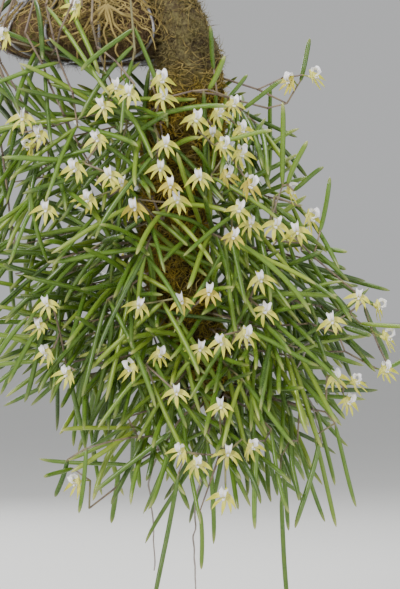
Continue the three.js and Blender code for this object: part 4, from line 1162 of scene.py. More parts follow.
class Finish:
    """A material under way: its wiring, its shader and its places."""

    def __init__(self, name, roughness=0.6, specular=0.5, metallic=0.0):
        self.material = bpy.data.materials.new(name)
        self.material.use_nodes = True
        tree = self.material.node_tree
        tree.nodes.clear()
        self.wiring = Wiring(tree)
        self.shader = self.wiring.node("ShaderNodeBsdfPrincipled")
        self.shader.inputs["Roughness"].default_value = roughness
        self.shader.inputs["Specular IOR Level"].default_value = specular
        self.shader.inputs["Metallic"].default_value = metallic
        out = self.wiring.node("ShaderNodeOutputMaterial")
        self.wiring.tree.links.new(self.shader.outputs[0], out.inputs[0])
        self.place = self.wiring.node("ShaderNodeTexCoord").outputs["Object"]

    def group(self, kind, **inputs):
        if kind not in GROUPS:
            GROUPS[kind] = GROUP_MAKERS[kind]()
        made = self.wiring.node("ShaderNodeGroup", node_tree=GROUPS[kind])
        self.wiring.feed(made.inputs["Vector"], self.place)
        for key, value in inputs.items():
            self.wiring.feed(made.inputs[key.replace("_", " ").title()], value)
        return made.outputs[0]

    def colour(self, value):
        self.wiring.feed(self.shader.inputs["Base Color"], value)

    def roughness(self, value):
        self.wiring.feed(self.shader.inputs["Roughness"], value)

    def bump(self, height, strength, distance):
        bump = self.wiring.node("ShaderNodeBump", {"Height": height})
        bump.inputs["Strength"].default_value = strength
        bump.inputs["Distance"].default_value = distance
        self.wiring.feed(self.shader.inputs["Normal"], bump.outputs[0])


def shade(colour, factor):
    return tuple(min(1.0, c * factor) for c in colour)


# Colours that the settings leave alone
DRY_TIP = (0.50, 0.48, 0.17)
JOINT_BROWN = (0.085, 0.05, 0.035)
PETAL_FOOT, PETAL_TIP = (0.88, 0.86, 0.30), (0.42, 0.46, 0.04)
PETAL_EDGE, PETAL_OLD = (0.90, 0.86, 0.36), (0.52, 0.36, 0.025)
LIP_LILAC, LIP_KEEL = (0.84, 0.72, 0.86), (0.86, 0.68, 0.20)
CRUST_BROWN, CRUST_OLIVE = (0.115, 0.085, 0.055), (0.30, 0.265, 0.115)
SOIL_DARK, SOIL_LIGHT = (0.045, 0.030, 0.014), (0.19, 0.14, 0.035)
RUST = (0.20, 0.085, 0.035)
ROOT_PALE = (0.50, 0.47, 0.33)
CRUST_FOOT, CRUST_TOP = -0.316, -0.294


def leaf_finish(name, plant):
    """Smooth, softly glossy leaf: its own green, a paler tip, a tan neck and fine grooves."""
    finish = Finish(name, roughness=0.36, specular=0.5)
    w = finish.wiring
    tint, along, around = w.surface("tint"), w.surface("along"), w.surface("around")
    young = w.span(tint, 0.5, 1.0)
    old = w.span(tint, 0.5, 0.0)
    colour = w.blend(old, plant.leaf_middle, plant.leaf_dark)
    colour = w.blend(young, colour, plant.leaf_light)
    mottle = finish.group("patchy", patch_scale=90.0, fleck_scale=900.0, flecks=0.7)
    colour = w.blend(w.times(mottle, 0.2), colour, shade(plant.leaf_light, 0.8))
    stripes = w.maths("ABSOLUTE", w.maths("SINE", w.times(around, 3 * TAU)))
    colour = w.blend(w.times(stripes, 0.16), colour, shade(plant.leaf_dark, 0.8))
    tip = w.times(w.span(along, 0.86, 1.0), w.span(tint, 0.1, 0.8, 0.25, 0.85))
    colour = w.blend(tip, colour, DRY_TIP)
    neck = w.span(along, 0.065, 0.0)
    colour = w.blend(w.times(neck, 0.85), colour, shade(plant.stem_tan, 0.8))
    finish.colour(colour)
    finish.roughness(w.span(mottle, 0.0, 1.0, 0.24, 0.40))
    ridges = w.maths("SINE", w.times(around, 8 * TAU))
    grain = finish.group("grain", lump_scale=250.0, grit_scale=2500.0)
    finish.bump(w.maths("ADD", w.times(ridges, 0.12), grain), 0.22, 0.0004)
    return finish.material


def stem_finish(name, plant):
    """Wiry stems: grey-purple bark under dry tan sheaths, darker at each joint."""
    finish = Finish(name, roughness=0.62, specular=0.35)
    w = finish.wiring
    sheath = finish.group("patchy", patch_scale=140.0, fleck_scale=1400.0, flecks=0.9)
    colour = w.blend(sheath, plant.stem_grey, plant.stem_tan)
    green = w.times(w.span(w.surface("tint"), 0.55, 1.0), 0.75)
    colour = w.blend(green, colour, shade(plant.leaf_light, 0.75))
    colour = w.blend(w.times(w.surface("node"), 0.75), colour, JOINT_BROWN)
    finish.colour(colour)
    finish.bump(finish.group("grain", lump_scale=900.0, grit_scale=4000.0), 0.5, 0.0005)
    return finish.material


def bloom_finish(name, plant):
    """Cream petals with fine stripes, a white frilled lip with a lilac tinge and a yellow keel."""
    finish = Finish(name, roughness=0.46, specular=0.35)
    w = finish.wiring
    part, along, across = w.surface("part"), w.surface("along"), w.surface("across")
    age = w.surface("tint")
    aside = w.maths("ABSOLUTE", across)
    petal = w.blend(w.span(along, 0.0, 0.55), PETAL_FOOT, plant.petal)
    petal = w.blend(w.times(w.span(along, 0.55, 1.0), 0.55), petal, PETAL_TIP)
    petal = w.blend(w.times(w.span(aside, 0.6, 1.0), 0.35), petal, PETAL_EDGE)
    lines = w.maths("ABSOLUTE", w.maths("SINE", w.times(across, 1.5 * math.pi)))
    thin = w.times(w.span(lines, 0.22, 0.05), w.span(along, 0.85, 0.3))
    petal = w.blend(w.times(thin, 0.55), petal, plant.stripe)
    petal = w.blend(w.times(age, 0.6), petal, PETAL_OLD)
    flush = finish.group("patchy", patch_scale=500.0, fleck_scale=2500.0, flecks=0.4)
    lip = w.blend(w.times(flush, 0.22), plant.lip, LIP_LILAC)
    keel = w.times(w.span(aside, 0.3, 0.05), w.span(along, 0.75, 0.3))
    lip = w.blend(w.times(keel, 0.7), lip, LIP_KEEL)
    finish.colour(w.blend(w.span(part, 0.4, 0.6), petal, lip))
    finish.bump(w.maths("ADD", finish.group("grain", lump_scale=1200.0, grit_scale=5000.0),
                        w.times(lines, 0.8)), 0.25, 0.0003)
    return finish.material


def root_finish(name, colour, pale):
    """Roots: a matt papery skin with paler and darker stretches."""
    finish = Finish(name, roughness=0.82, specular=0.25)
    w = finish.wiring
    mask = finish.group("patchy", patch_scale=110.0, fleck_scale=1800.0, flecks=0.8)
    tone = w.blend(mask, shade(colour, 0.6), colour)
    tone = w.blend(w.times(w.surface("tint"), 0.8), tone, pale)
    finish.colour(tone)
    finish.bump(finish.group("grain", lump_scale=700.0, grit_scale=3800.0), 0.6, 0.0006)
    return finish.material


def crusted(finish, colour):
    """The mat's upper part, beside the rim, is crusted with grey-brown and olive lichen."""
    w = finish.wiring
    height = w.node("ShaderNodeSeparateXYZ", {"Vector": finish.place}).outputs[2]
    spots = finish.group("patchy", patch_scale=75.0, fleck_scale=520.0, flecks=0.9)
    crust = w.blend(spots, CRUST_BROWN, CRUST_OLIVE)
    return w.blend(w.span(height, CRUST_FOOT, CRUST_TOP, 0.0, 0.9), colour, crust)


def soil_finish(name):
    """The dark heart that shows between the strands."""
    finish = Finish(name, roughness=0.97, specular=0.08)
    w = finish.wiring
    patches = finish.group("patchy", patch_scale=60.0, fleck_scale=800.0, flecks=0.9)
    finish.colour(crusted(finish, w.blend(patches, SOIL_DARK, SOIL_LIGHT)))
    finish.bump(finish.group("grain", lump_scale=420.0, grit_scale=2200.0, grit=0.7), 1.0, 0.003)
    return finish.material


def moss_finish(name, basket, green_share, dark, crust):
    """Moss and root fibre: gold strands over brown, with greener cushions."""
    finish = Finish(name, roughness=0.93, specular=0.12)
    w = finish.wiring
    tint = w.surface("tint")
    cushions = finish.group("patchy", patch_scale=28.0, fleck_scale=260.0, flecks=0.5)
    gold = basket.moss_gold
    colour = w.blend(w.span(tint, 0.0, 1.0), shade(gold, 0.62), shade(gold, 1.3))
    colour = w.blend(w.times(cushions, green_share), colour, basket.moss_green)
    deep = finish.group("patchy", patch_scale=55.0, fleck_scale=700.0, flecks=0.8)
    colour = w.blend(w.times(deep, dark), colour, basket.moss_brown)
    finish.colour(crusted(finish, colour) if crust else colour)
    finish.bump(finish.group("grain", lump_scale=900.0, grit_scale=3000.0, grit=0.6), 0.8, 0.001)
    return finish.material


def coir_finish(name, basket):
    """Matted coconut fibre: crossing streaks of brown, with moss in patches."""
    finish = Finish(name, roughness=0.95, specular=0.1)
    w = finish.wiring
    streaks = []
    for stretch in ((900.0, 120.0, 260.0), (140.0, 800.0, 240.0), (260.0, 260.0, 1400.0)):
        mapped = w.node("ShaderNodeMapping", {"Vector": finish.place, "Scale": stretch})
        streaks.append(w.noise(mapped, 1.0, 2.0, 0.7))
    fibre = w.maths("MAXIMUM", w.maths("MAXIMUM", streaks[0], streaks[1]), streaks[2])
    mask = w.span(fibre, 0.48, 0.78)
    colour = w.blend(mask, shade(basket.coir, 0.45), shade(basket.coir, 2.1))
    colour = w.blend(w.times(w.surface("tint"), 0.6), colour, shade(basket.coir, 1.6))
    moss = finish.group("patchy", patch_scale=34.0, fleck_scale=420.0, flecks=0.7)
    colour = w.blend(w.span(moss, 0.6, 1.0, 0.0, 0.7), colour, shade(basket.moss_green, 0.8))
    finish.colour(colour)
    finish.bump(w.maths("ADD", mask, finish.group("grain", lump_scale=500.0)), 0.9, 0.0015)
    return finish.material


def wire_finish(name, basket):
    """Galvanised wire: dull zinc with white bloom and a little rust in scattered spots."""
    finish = Finish(name, roughness=0.5, specular=0.5, metallic=1.0)
    w = finish.wiring
    bloom = finish.group("patchy", patch_scale=160.0, fleck_scale=1500.0, flecks=0.6)
    colour = w.blend(bloom, shade(basket.wire, 0.75), shade(basket.wire, 1.35))
    spots = finish.group("patchy", patch_scale=60.0, fleck_scale=900.0, flecks=0.9)
    rust = w.span(spots, 0.78, 1.0)
    finish.colour(w.blend(w.times(rust, 0.6), colour, RUST))
    finish.roughness(w.span(bloom, 0.0, 1.0, 0.36, 0.62))
    w.feed(finish.shader.inputs["Metallic"], w.span(rust, 0.0, 1.0, 0.85, 0.3))
    finish.bump(finish.group("grain", lump_scale=1300.0, grit_scale=5000.0), 0.25, 0.0003)
    return finish.material


def floor_finish(name, colour):
    """A pale floor with barely seen patches."""
    finish = Finish(name, roughness=0.85, specular=0.2)
    w = finish.wiring
    soft = finish.group("patchy", patch_scale=2.0, fleck_scale=30.0, flecks=0.2)
    finish.colour(w.blend(w.times(soft, 0.08), colour, shade(colour, 0.8)))
    return finish.material


FINISHES = {}


def finish_of(maker, name, *values):
    """Each material is made once."""
    if name not in FINISHES:
        FINISHES[name] = maker(name, *values)
    return FINISHES[name]


def old_root_finish(basket):
    return finish_of(root_finish, "old_root", basket.old_root, shade(basket.old_root, 1.4))


# Shapes
def mesh_of(name, points, faces=(), edges=()):
    """A mesh from points in mm."""
    mesh = bpy.data.meshes.new(name)
    mesh.from_pydata([tuple(MM * c for c in p) for p in points], edges, faces)
    return mesh


def face_outward(mesh):
    built = bmesh.new()
    built.from_mesh(mesh)
    bmesh.ops.recalc_face_normals(built, faces=built.faces)
    built.to_mesh(mesh)
    built.free()


def random_source(seed):
    return np.random.default_rng(seed)


def put_attribute(mesh, name, values, kind="FLOAT", domain="POINT"):
    layer = mesh.attributes.new(name, kind, domain)
    key = "vector" if kind == "FLOAT_VECTOR" else "value"
    layer.data.foreach_set(key, np.asarray(values).ravel())


def path_mesh(paths):
    """Paths as chains of edges: each has points in mm, girths, a tint and marks for its joints."""
    points, edges, girths, alongs, tints, nodes = [], [], [], [], [], []
    for path in paths:
        line = np.asarray(path["points"], float)
        steps = np.linalg.norm(np.diff(line, axis=0), axis=1)
        reach = np.concatenate([[0], np.cumsum(steps)])
        first = len(points)
        points += list(line)
        edges += [(first + i, first + i + 1) for i in range(len(line) - 1)]
        girths += list(np.broadcast_to(path["girth"], len(line)))
        alongs += list(reach / reach[-1])
        tints += [path.get("tint", 0.5)] * len(line)
        nodes += list(np.broadcast_to(path.get("node", 0.0), len(line)))
    mesh = mesh_of("paths", points, edges=edges)
    for name, values in (("girth", girths), ("along", alongs), ("tint", tints), ("node", nodes)):
        put_attribute(mesh, name, values)
    return mesh


SURFACE_MARKS = ("tint", "along", "around", "across", "part", "node")


def read(items, key, width=1, kind=float):
    values = np.zeros(len(items) * width, kind)
    items.foreach_get(key, values)
    return values


def merged_mesh(name, meshes):
    """One mesh of several, with their materials and surface marks."""
    materials, spots, corners, starts, slots = [], [], [], [], []
    marks = {mark: [] for mark in SURFACE_MARKS}
    for mesh in meshes:
        spot_base, corner_base = sum(map(len, spots)), sum(map(len, corners))
        slot = read(mesh.polygons, "material_index", kind=int)
        for material in mesh.materials:
            if material not in materials:
                materials.append(material)
        order = np.array([materials.index(material) for material in mesh.materials] or [0])
        spots.append(read(mesh.vertices, "co", width=3).reshape(-1, 3))
        corners.append(read(mesh.loops, "vertex_index", kind=int) + spot_base)
        starts.append(read(mesh.polygons, "loop_start", kind=int) + corner_base)
        slots.append(order[np.minimum(slot, len(order) - 1)])
        for mark in SURFACE_MARKS:
            values = np.zeros(len(mesh.vertices))
            layer = mesh.attributes.get(mark)
            if layer is not None and layer.domain == "POINT" and len(layer.data) == len(values):
                layer.data.foreach_get("value", values)
            marks[mark].append(values)
        bpy.data.meshes.remove(mesh)
    final = bpy.data.meshes.new(name)
    final.vertices.add(sum(map(len, spots)))
    final.vertices.foreach_set("co", np.concatenate(spots).ravel())
    final.loops.add(sum(map(len, corners)))
    final.loops.foreach_set("vertex_index", np.concatenate(corners))
    final.polygons.add(sum(map(len, starts)))
    final.polygons.foreach_set("loop_start", np.concatenate(starts))
    final.polygons.foreach_set("material_index", np.concatenate(slots))
    for mark in SURFACE_MARKS:
        values = np.concatenate(marks[mark])
        if values.any():
            put_attribute(final, mark, values)
    for material in materials:
        final.materials.append(material)
    final.update(calc_edges=True)
    final.shade_smooth()
    return final


def fine_piece(name, meshes, node):
    """One finished piece that rides on the object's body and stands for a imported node."""
    piece = bpy.data.objects.new(name, merged_mesh(name, [mesh for mesh in meshes if mesh]))
    bpy.context.scene.collection.objects.link(piece)
    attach(piece, "root")
    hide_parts(node)
    return piece


def blade(spine, widths, ways, cup, thick, columns, frill):
    """The two faces of a blade along a spine, from its half widths and its ways across.

    The cup lifts its edges, and the frill adds a height at a share of its length and width.
    """
    spine, ways = np.asarray(spine, float), np.asarray(ways, float)
    rows = len(spine)
    ahead = np.gradient(spine, axis=0)
    ahead /= np.linalg.norm(ahead, axis=1)[:, None]
    ways = ways - ahead * np.sum(ways * ahead, axis=1)[:, None]
    ways /= np.linalg.norm(ways, axis=1)[:, None]
    face = np.cross(ways, ahead)
    sides = np.linspace(-1, 1, columns)
    sheets = []
    for offset in (0.5, -0.5):
        sheet = np.zeros((rows, columns, 3))
        for i in range(rows):
            for j, s in enumerate(sides):
                lift = cup[i] * s * s * widths[i] + frill(i / (rows - 1), s)
                lift += offset * (thick * (1 - 0.7 * s * s))
                sheet[i, j] = spine[i] + ways[i] * (s * widths[i]) + face[i] * lift
        sheets.append(sheet)
    return sheets, sides


def blade_into(shape, sheets, sides, part):
    """Adds a closed blade to a shape: its points, faces and surface marks."""
    top, under = sheets
    rows, columns = top.shape[:2]
    first = len(shape["points"])
    for sheet in (top, under):
        for i in range(rows):
            for j in range(columns):
                shape["points"].append(tuple(sheet[i, j]))
                shape["along"].append(i / (rows - 1))
                shape["across"].append(sides[j])
                shape["part"].append(part)

    def at(sheet, i, j):
        return first + sheet * rows * columns + i * columns + j

    for i in range(rows - 1):
        for j in range(columns - 1):
            shape["faces"].append(
                (at(0, i, j), at(0, i, j + 1), at(0, i + 1, j + 1), at(0, i + 1, j)))
            shape["faces"].append(
                (at(1, i, j), at(1, i + 1, j), at(1, i + 1, j + 1), at(1, i, j + 1)))
    for i in range(rows - 1):
        for j, flip in ((0, False), (columns - 1, True)):
            quad = (at(0, i, j), at(0, i + 1, j), at(1, i + 1, j), at(1, i, j))
            shape["faces"].append(quad[::-1] if flip else quad)
    for j in range(columns - 1):
        for i, flip in ((0, True), (rows - 1, False)):
            quad = (at(0, i, j), at(0, i, j + 1), at(1, i, j + 1), at(1, i, j))
            shape["faces"].append(quad[::-1] if flip else quad)


def bloom_shape(name, seed, spread, curl):
    """One bloom in mm as (mirrored side, forward, up): petals sweep down, the lip curls up."""
    rng = random_source(seed)
    shape = {"points": [], "faces": [], "along": [], "across": [], "part": []}

    def tepal(tip, start, width, broad_at, bend, cup):
        tip, start = np.array(tip, float), np.array(start, float)
        tip = tip * (1 + rng.uniform(-0.05, 0.04)) + rng.uniform(-1.2, 1.2, 3)
        middle = (start + tip) / 2 + np.array(bend, float) + rng.uniform(-0.9, 0.9, 3)
        shares = np.linspace(0, 1, 9)[:, None]
        spine = ((1 - shares) ** 2) * start + 2 * shares * (1 - shares) * middle
        spine = spine + shares ** 2 * tip
        t = shares[:, 0]
        past = np.maximum(0, t - broad_at) / (1 - broad_at)
        swell = np.where(t < broad_at, 0.72 + 0.28 * np.sin(np.pi / 2 * t / broad_at),
                         np.cos(np.pi / 2 * past ** 1.25))
        widths = width * np.maximum(swell, 0.07)
        out = tip - start
        across = np.cross(out, [0, 1, 0.15])
        ways = np.tile(across, (9, 1))
        wave = rng.uniform(0, TAU)
        sheets, sides = blade(spine, widths, ways, np.full(9, cup), 0.55, 5,
                              lambda a, s: 0.22 * s * math.sin(7 * a + wave))
        blade_into(shape, sheets, sides, 0.0)

    for side in (-1, 1):
        tepal((side * 12.2 * spread, 6.3, -4.2), (side, -0.6, 1.9), 2.1, 0.16, (0, -1.6, 2.0), 0.4)
    for side in (-1, 1):
        tepal((side * 7.0 * spread, 6.8, -9.2), (side * 1.1, 0.4, -0.8), 1.15, 0.45,
              (side, -1.8, 1.2), 0.22)
    tepal((0.0, 5.3, -11.4), (0.0, -0.4, -1.0), 1.6, 0.38, (0, -2.2, 1.0), 0.26)
    add_chin(shape)
    add_lip(shape, rng, curl)
    mesh = mesh_of(name, shape["points"], shape["faces"])
    for key in ("along", "across", "part"):
        put_attribute(mesh, key, shape[key])
    mesh.shade_smooth()
    return bpy.data.objects.new(name, mesh)


def add_tube(shape, spine, girths, sides, part):
    """A closed round tube along a spine."""
    spine = np.asarray(spine, float)
    first = len(shape["points"])
    ahead = np.gradient(spine, axis=0)
    for i, centre in enumerate(spine):
        way = ahead[i] / np.linalg.norm(ahead[i])
        across = np.cross(way, [0.0, 1.0, 0.01])
        slant = np.linalg.norm(across)
        across = np.array([1.0, 0, 0]) if slant < 0.2 else across / slant
        upward = np.cross(way, across)
        for k in range(sides):
            turn = TAU * k / sides
            out = across * math.cos(turn) + upward * math.sin(turn)
            shape["points"].append(tuple(centre + girths[i] * out))
            shape["along"].append(i / (len(spine) - 1))
            shape["across"].append(math.cos(turn))
            shape["part"].append(part)
    for i in range(len(spine) - 1):
        for k in range(sides):
            a, b = first + i * sides + k, first + i * sides + (k + 1) % sides
            shape["faces"].append((a, b, b + sides, a + sides))
    shape["faces"].append(tuple(first + k for k in reversed(range(sides))))
    shape["faces"].append(tuple(first + (len(spine) - 1) * sides + k for k in range(sides)))


def add_chin(shape):
    """The pointed chin above the lip, the hub that everything leaves and the short column."""
    chin = [(0, 1.2, -0.6), (0, -0.2, 1.2), (0, -1.4, 3.6), (0, -2.6, 5.6), (0, -3.1, 6.6)]
    add_tube(shape, chin, [1.6, 2.5, 2.1, 1.1, 0.25], 8, 0.0)
    add_tube(shape, [(0, -4.8, 1.1), (0, -3.2, 0.7), (0, -1.0, 0.2), (0, 0.8, -0.2)],
             [0.85, 1.3, 2.3, 1.5], 8, 0.0)
    add_tube(shape, [(0, 0.6, -0.3), (0, 2.4, -0.9), (0, 4.0, -0.7), (0, 4.7, -0.2)],
             [1.3, 1.1, 1.0, 0.5], 6, 0.8)


LIP_LENGTH, LIP_ROWS = 14.5, 15


def add_lip(shape, rng, curl):
    """The lip: a channel that comes forward, rises, and rolls back with a frilled white edge."""
    t = np.linspace(0, 1, LIP_ROWS)
    turn = np.interp(t, [0, 0.25, 0.5, 1.0], [0.15, 0.5, 2.0, 5.2 * curl])
    step = LIP_LENGTH / (LIP_ROWS - 1)
    y, z = [0.4], [1.0]
    for angle in turn[1:]:
        y.append(y[-1] + step * math.cos(angle))
        z.append(z[-1] + step * math.sin(angle) * 0.95)
    spine = np.column_stack([np.zeros(LIP_ROWS), y, z])
    widths = np.interp(t, [0, 0.15, 0.35, 0.5, 0.65, 0.8, 1.0], [1.1, 1.5, 2.3, 2.9, 2.5, 1.8, 0.7])
    ways = np.tile([1.0, 0, 0], (LIP_ROWS, 1))
    cup = np.interp(t, [0, 0.4, 0.6, 1], [-0.7, -0.6, -0.95, -0.9])
    first, second = rng.uniform(0, TAU, 2)

    def frill(a, s):
        edge = max(0.0, abs(s) - 0.45) / 0.55
        ripple = math.sin(26 * a + first + 1.4 * s) + 0.5 * math.sin(41 * a + second)
        keels = 0.55 * math.exp(-((abs(s) - 0.16) / 0.09) ** 2)
        keels *= math.sin(math.pi * min(1, a * 1.25))
        return 0.55 * edge * ripple * min(1.0, 2.2 * a) - keels * (1 if a < 0.8 else 0)

    sheets, sides = blade(spine, widths, ways, cup, 0.42, 11, frill)
    blade_into(shape, sheets, sides, 1.0)


def tuft_shape(name, strands, length, spread, girth, seed, curl):
    """A small tuft of three-sided strands that stand up and curl over, in mm."""
    rng = random_source(seed)
    points, faces, along = [], [], []
    for _ in range(strands):
        turn, lean = rng.uniform(0, TAU), rng.uniform(0.1, spread)
        reach = length * rng.uniform(0.6, 1.25)
        way = np.array([math.cos(turn) * math.sin(lean), math.sin(turn) * math.sin(lean),
                        math.cos(lean)])
        droop = np.array([math.cos(turn + 0.8), math.sin(turn + 0.8), -0.6]) * curl * reach
        side = np.cross(way, [0.3, 0.2, 1.0])
        side /= np.linalg.norm(side)
        up = np.cross(way, side)
        first = len(points)
        for share, thick in ((0, 1.0), (0.55, 0.75)):
            centre = way * reach * share + droop * share * share
            for k in range(3):
                spin = TAU * k / 3
                out = side * math.cos(spin) + up * math.sin(spin)
                points.append(centre + girth * thick * out)
                along.append(share)
        points.append(way * reach + droop)
        along.append(1.0)
        for k in range(3):
            n = (k + 1) % 3
            faces.append((first + k, first + n, first + 3 + n, first + 3 + k))
            faces.append((first + 3 + k, first + 3 + n, first + 6))
        faces.append((first + 2, first + 1, first))
    mesh = mesh_of(name, points, faces)
    put_attribute(mesh, "along", along)
    mesh.shade_smooth()
    return bpy.data.objects.new(name, mesh)


def turned_mesh(profile, sides, bump):
    """A closed turned shape about the basket's axis, roughened by a function of place."""
    points, faces = [], []
    rings = profile[1:-1]
    points.append((0, 0, profile[0][1]))
    for radius, height in rings:
        for k in range(sides):
            turn = TAU * k / sides
            x, y = radius * math.cos(turn), radius * math.sin(turn)
            push = bump(x, y, height)
            grown_by = 1 + push / max(radius, 6)
            points.append((x * grown_by, y * grown_by, height))
    points.append((0, 0, profile[-1][1]))
    last = len(points) - 1
    for k in range(sides):
        n = (k + 1) % sides
        faces.append((0, 1 + n, 1 + k))
        for i in range(len(rings) - 1):
            a = 1 + i * sides
            faces.append((a + k, a + n, a + sides + n, a + sides + k))
        a = 1 + (len(rings) - 1) * sides
        faces.append((a + k, a + n, last))
    mesh = mesh_of("turned", points, faces)
    face_outward(mesh)
    mesh.shade_smooth()
    return mesh


# Seeds of the draws that vary the fine pieces, and how closely their surfaces are divided
STEM_SEED, SPRAY_SEED, STRAND_SEED, CROWN_SEED, AERIAL_SEED = 500, 900, 31, 41, 43
MAT_ROWS, MAT_COLUMNS = 150, 54
MAT_STRANDS, BASKET_ROOTS = 420, 120
MOUND_SIDES, LINER_SIDES = 72, 132
RIM_STEPS, BASE_STEPS, RIB_STEPS, RING_STEPS, EYE_STEPS = 96, 60, 18, 60, 28
WRAP_TURNS, WRAP_STEPS = 5, 8
FLOOR_REACH = 30.0

# The growth rule runs once, and every operator takes its lines from it.
GROWN = {}


def settings():
    scene = bpy.context.scene
    return scene.orchid_plant, scene.orchid_basket, scene.orchid_stage


def the_plant():
    if not GROWN:
        plant = Plant()
        wishes = settings()[0]
        plant.fill_out(wishes.fill_stems, wishes.fill_leaves)
        GROWN["plant"] = plant
    return GROWN["plant"]


def jointed_path(points, radius, tint, thin_end=1.0):
    """A stem's path with a swollen, darker joint wherever it turns."""
    line, girths, nodes = [], [], []
    last = len(points) - 1
    for i, at in enumerate(points):
        girth = radius * (1 + (thin_end - 1) * i / last)
        if 0 < i < last:
            before, after = points[i - 1], points[i + 1]
            line += [mix(at, before, min(0.4, 1.7 / size(sub(before, at)))), at,
                     mix(at, after, min(0.4, 1.7 / size(sub(after, at))))]
            girths += [girth * 1.02, girth * 1.5, girth * 1.1]
            nodes += [0.2, 1.0, 0.5]
        else:
            line.append(at)
            girths.append(girth)
            nodes.append(0.0)
    return {"points": line, "girth": np.array(girths) * MM, "tint": tint, "node": np.array(nodes)}


def stem_paths(tree, rng):
    """A stem system's runs, from its peg's foot on, and a green stalk to each bloom."""
    paths = []
    for n, (points, radius, bloom) in enumerate(tree.runs):
        if n == 0:
            points = [tree.peg[0]] + list(points)
        tint = rng.uniform(0.0, 0.75)
        if bloom:
            paths.append(jointed_path(points[:-1], radius, rng.uniform(0.2, 0.8)))
            stalk = [points[-2], mix(points[-2], points[-1], 0.5), points[-1]]
            paths.append({"points": stalk, "girth": np.array([0.75, 0.6, 0.85]) * MM, "tint": 1.0})
        else:
            paths.append(jointed_path(points, radius, tint, 0.8))
    return paths


def leaf_paths(tree, rng):
    """A stem system's leaves, each with a slight wave and a tint near its stem's own."""
    paths = []
    stem_tint = rng.uniform(0.15, 0.7)
    wishes = [(joint.at, tip, bow) for joint, tip, bow in tree.leaves] + tree.fill_leaves
    for base, tip, bow in wishes:
        wave = rng.uniform(-1, 1, 3) * 0.012 * size(sub(tip, base))
        line = np.array(leaf_line(base, tip, bow, FINE_SHARES))
        line[1:-1] += np.sin(np.array(FINE_SHARES[1:-1]) * TAU * 0.9)[:, None] * wave
        tint = min(1.0, max(0.0, stem_tint + rng.normal(0, 0.2)))
        paths.append({"points": line, "girth": rng.uniform(0.88, 1.1), "tint": tint})
    return paths


def bloom_points(blooms, rng):
    """A point for each bloom, with its turn, its kind, its size and its age as a tint."""
    mesh = mesh_of("bloom_points", [bloom.centre for bloom in blooms])
    turns, kinds = [], []
    for bloom in blooms:
        axes = Matrix((mul(bloom.right, -1), bloom.ahead, bloom.above)).transposed()
        axes = axes @ Euler(rng.uniform(-1, 1, 3) * (0.2, 0.3, 0.25)).to_matrix()
        turns.append(tuple(axes.to_euler()))
        kinds.append(int(rng.choice([0, 1, 1, 1, 2, 2])))
    put_attribute(mesh, "turn", turns, "FLOAT_VECTOR")
    put_attribute(mesh, "kind", kinds, "INT")
    put_attribute(mesh, "size", [bloom.scale for bloom in blooms])
    put_attribute(mesh, "tint", [float(kind == 0) * rng.uniform(0.5, 1.0) for kind in kinds])
    return mesh


class ORCHID_OT_stems(bpy.types.Operator):
    """Leafy stems: wiry jointed stems with pencil-shaped leaves, one piece for each packed stem."""

    bl_idname = "orchid.leafy_stems"
    bl_label = "Leafy stems"

    def execute(self, context):
        wishes = settings()[0]
        plant = the_plant()
        owners = {tree.name: [tree] for tree in plant.stems}
        for inner in plant.inner:
            end = inner.runs[0][0][-1]
            near = min(plant.stems, key=lambda tree: size(sub(tree.runs[0][0][-1], end)))
            owners[near.name].append(inner)
        for n, (name, trees) in enumerate(owners.items()):
            rng = random_source(STEM_SEED + n)
            meshes = [leafy_mesh(name, trees, wishes, rng), stem_mesh(name, trees, wishes, rng)]
            fine_piece(name + "_fine", meshes, name)
        return {"FINISHED"}


def leafy_mesh(name, trees, wishes, rng):
    paths = [path for tree in trees for path in leaf_paths(tree, rng)]
    if not paths:
        return None
    return grown(name + "_leaves", path_mesh(paths), "leaves", radius=wishes.leaf_radius,
                 material=finish_of(leaf_finish, "orchid_leaf", wishes))


def stem_mesh(name, trees, wishes, rng):
    paths = [path for tree in trees for path in stem_paths(tree, rng)]
    return grown(name + "_stems", path_mesh(paths), "rods", steps=2, sides=6,
                 material=finish_of(stem_finish, "orchid_stem", wishes))


class ORCHID_OT_sprays(bpy.types.Operator):
    """Flower sprays: thin twigs with leaves and cream blooms, a piece for each packed spray."""

    bl_idname = "orchid.flower_sprays"
    bl_label = "Flower sprays"

    def execute(self, context):
        wishes = settings()[0]
        young = bloom_shape("young_bloom", 11, 0.9, 0.85)
        wide = bloom_shape("open_bloom", 12, 1.0, 1.0)
        old = bloom_shape("old_bloom", 13, 0.96, 1.1)
        for n, tree in enumerate(the_plant().sprays):
            rng = random_source(SPRAY_SEED + n)
            name = tree.name
            meshes = [leafy_mesh(name, [tree], wishes, rng), stem_mesh(name, [tree], wishes, rng)]
            meshes.append(grown(name + "_blooms", bloom_points(tree.blooms, rng), "blooms",
                                young_bloom=young, open_bloom=wide, old_bloom=old,
                                material=finish_of(bloom_finish, "orchid_bloom", wishes)))
            fine_piece(name + "_fine", meshes, name)
        for shape in (young, wide, old):
            bpy.data.objects.remove(shape)
        return {"FINISHED"}


def core_at(share, turn):
    """A point on the hanging mat's surface and the way out of it, in mm."""
    rows = len(CORE) - 1
    at = min(share * rows, rows - 1e-6)
    i = int(at)
    t = at - i
    t = t * t * (3 - 2 * t) * 0.3 + t * 0.7
    x, down, y, radius = (a + (b - a) * t for a, b in zip(CORE[i], CORE[i + 1]))
    ahead = unit(sub(place(*CORE[i + 1][:3]), place(*CORE[i][:3])))
    across = unit(cross(ahead, (0, 1, 0)))
    upward = cross(ahead, across)
    out = add(mul(across, math.cos(turn)), mul(upward, math.sin(turn)))
    round_off = math.sqrt(max(0.0, 1 - max(0.0, 1 - share * 22, (share - 0.955) * 22) ** 2))
    return place(x, down, y), out, radius * max(0.04, round_off)


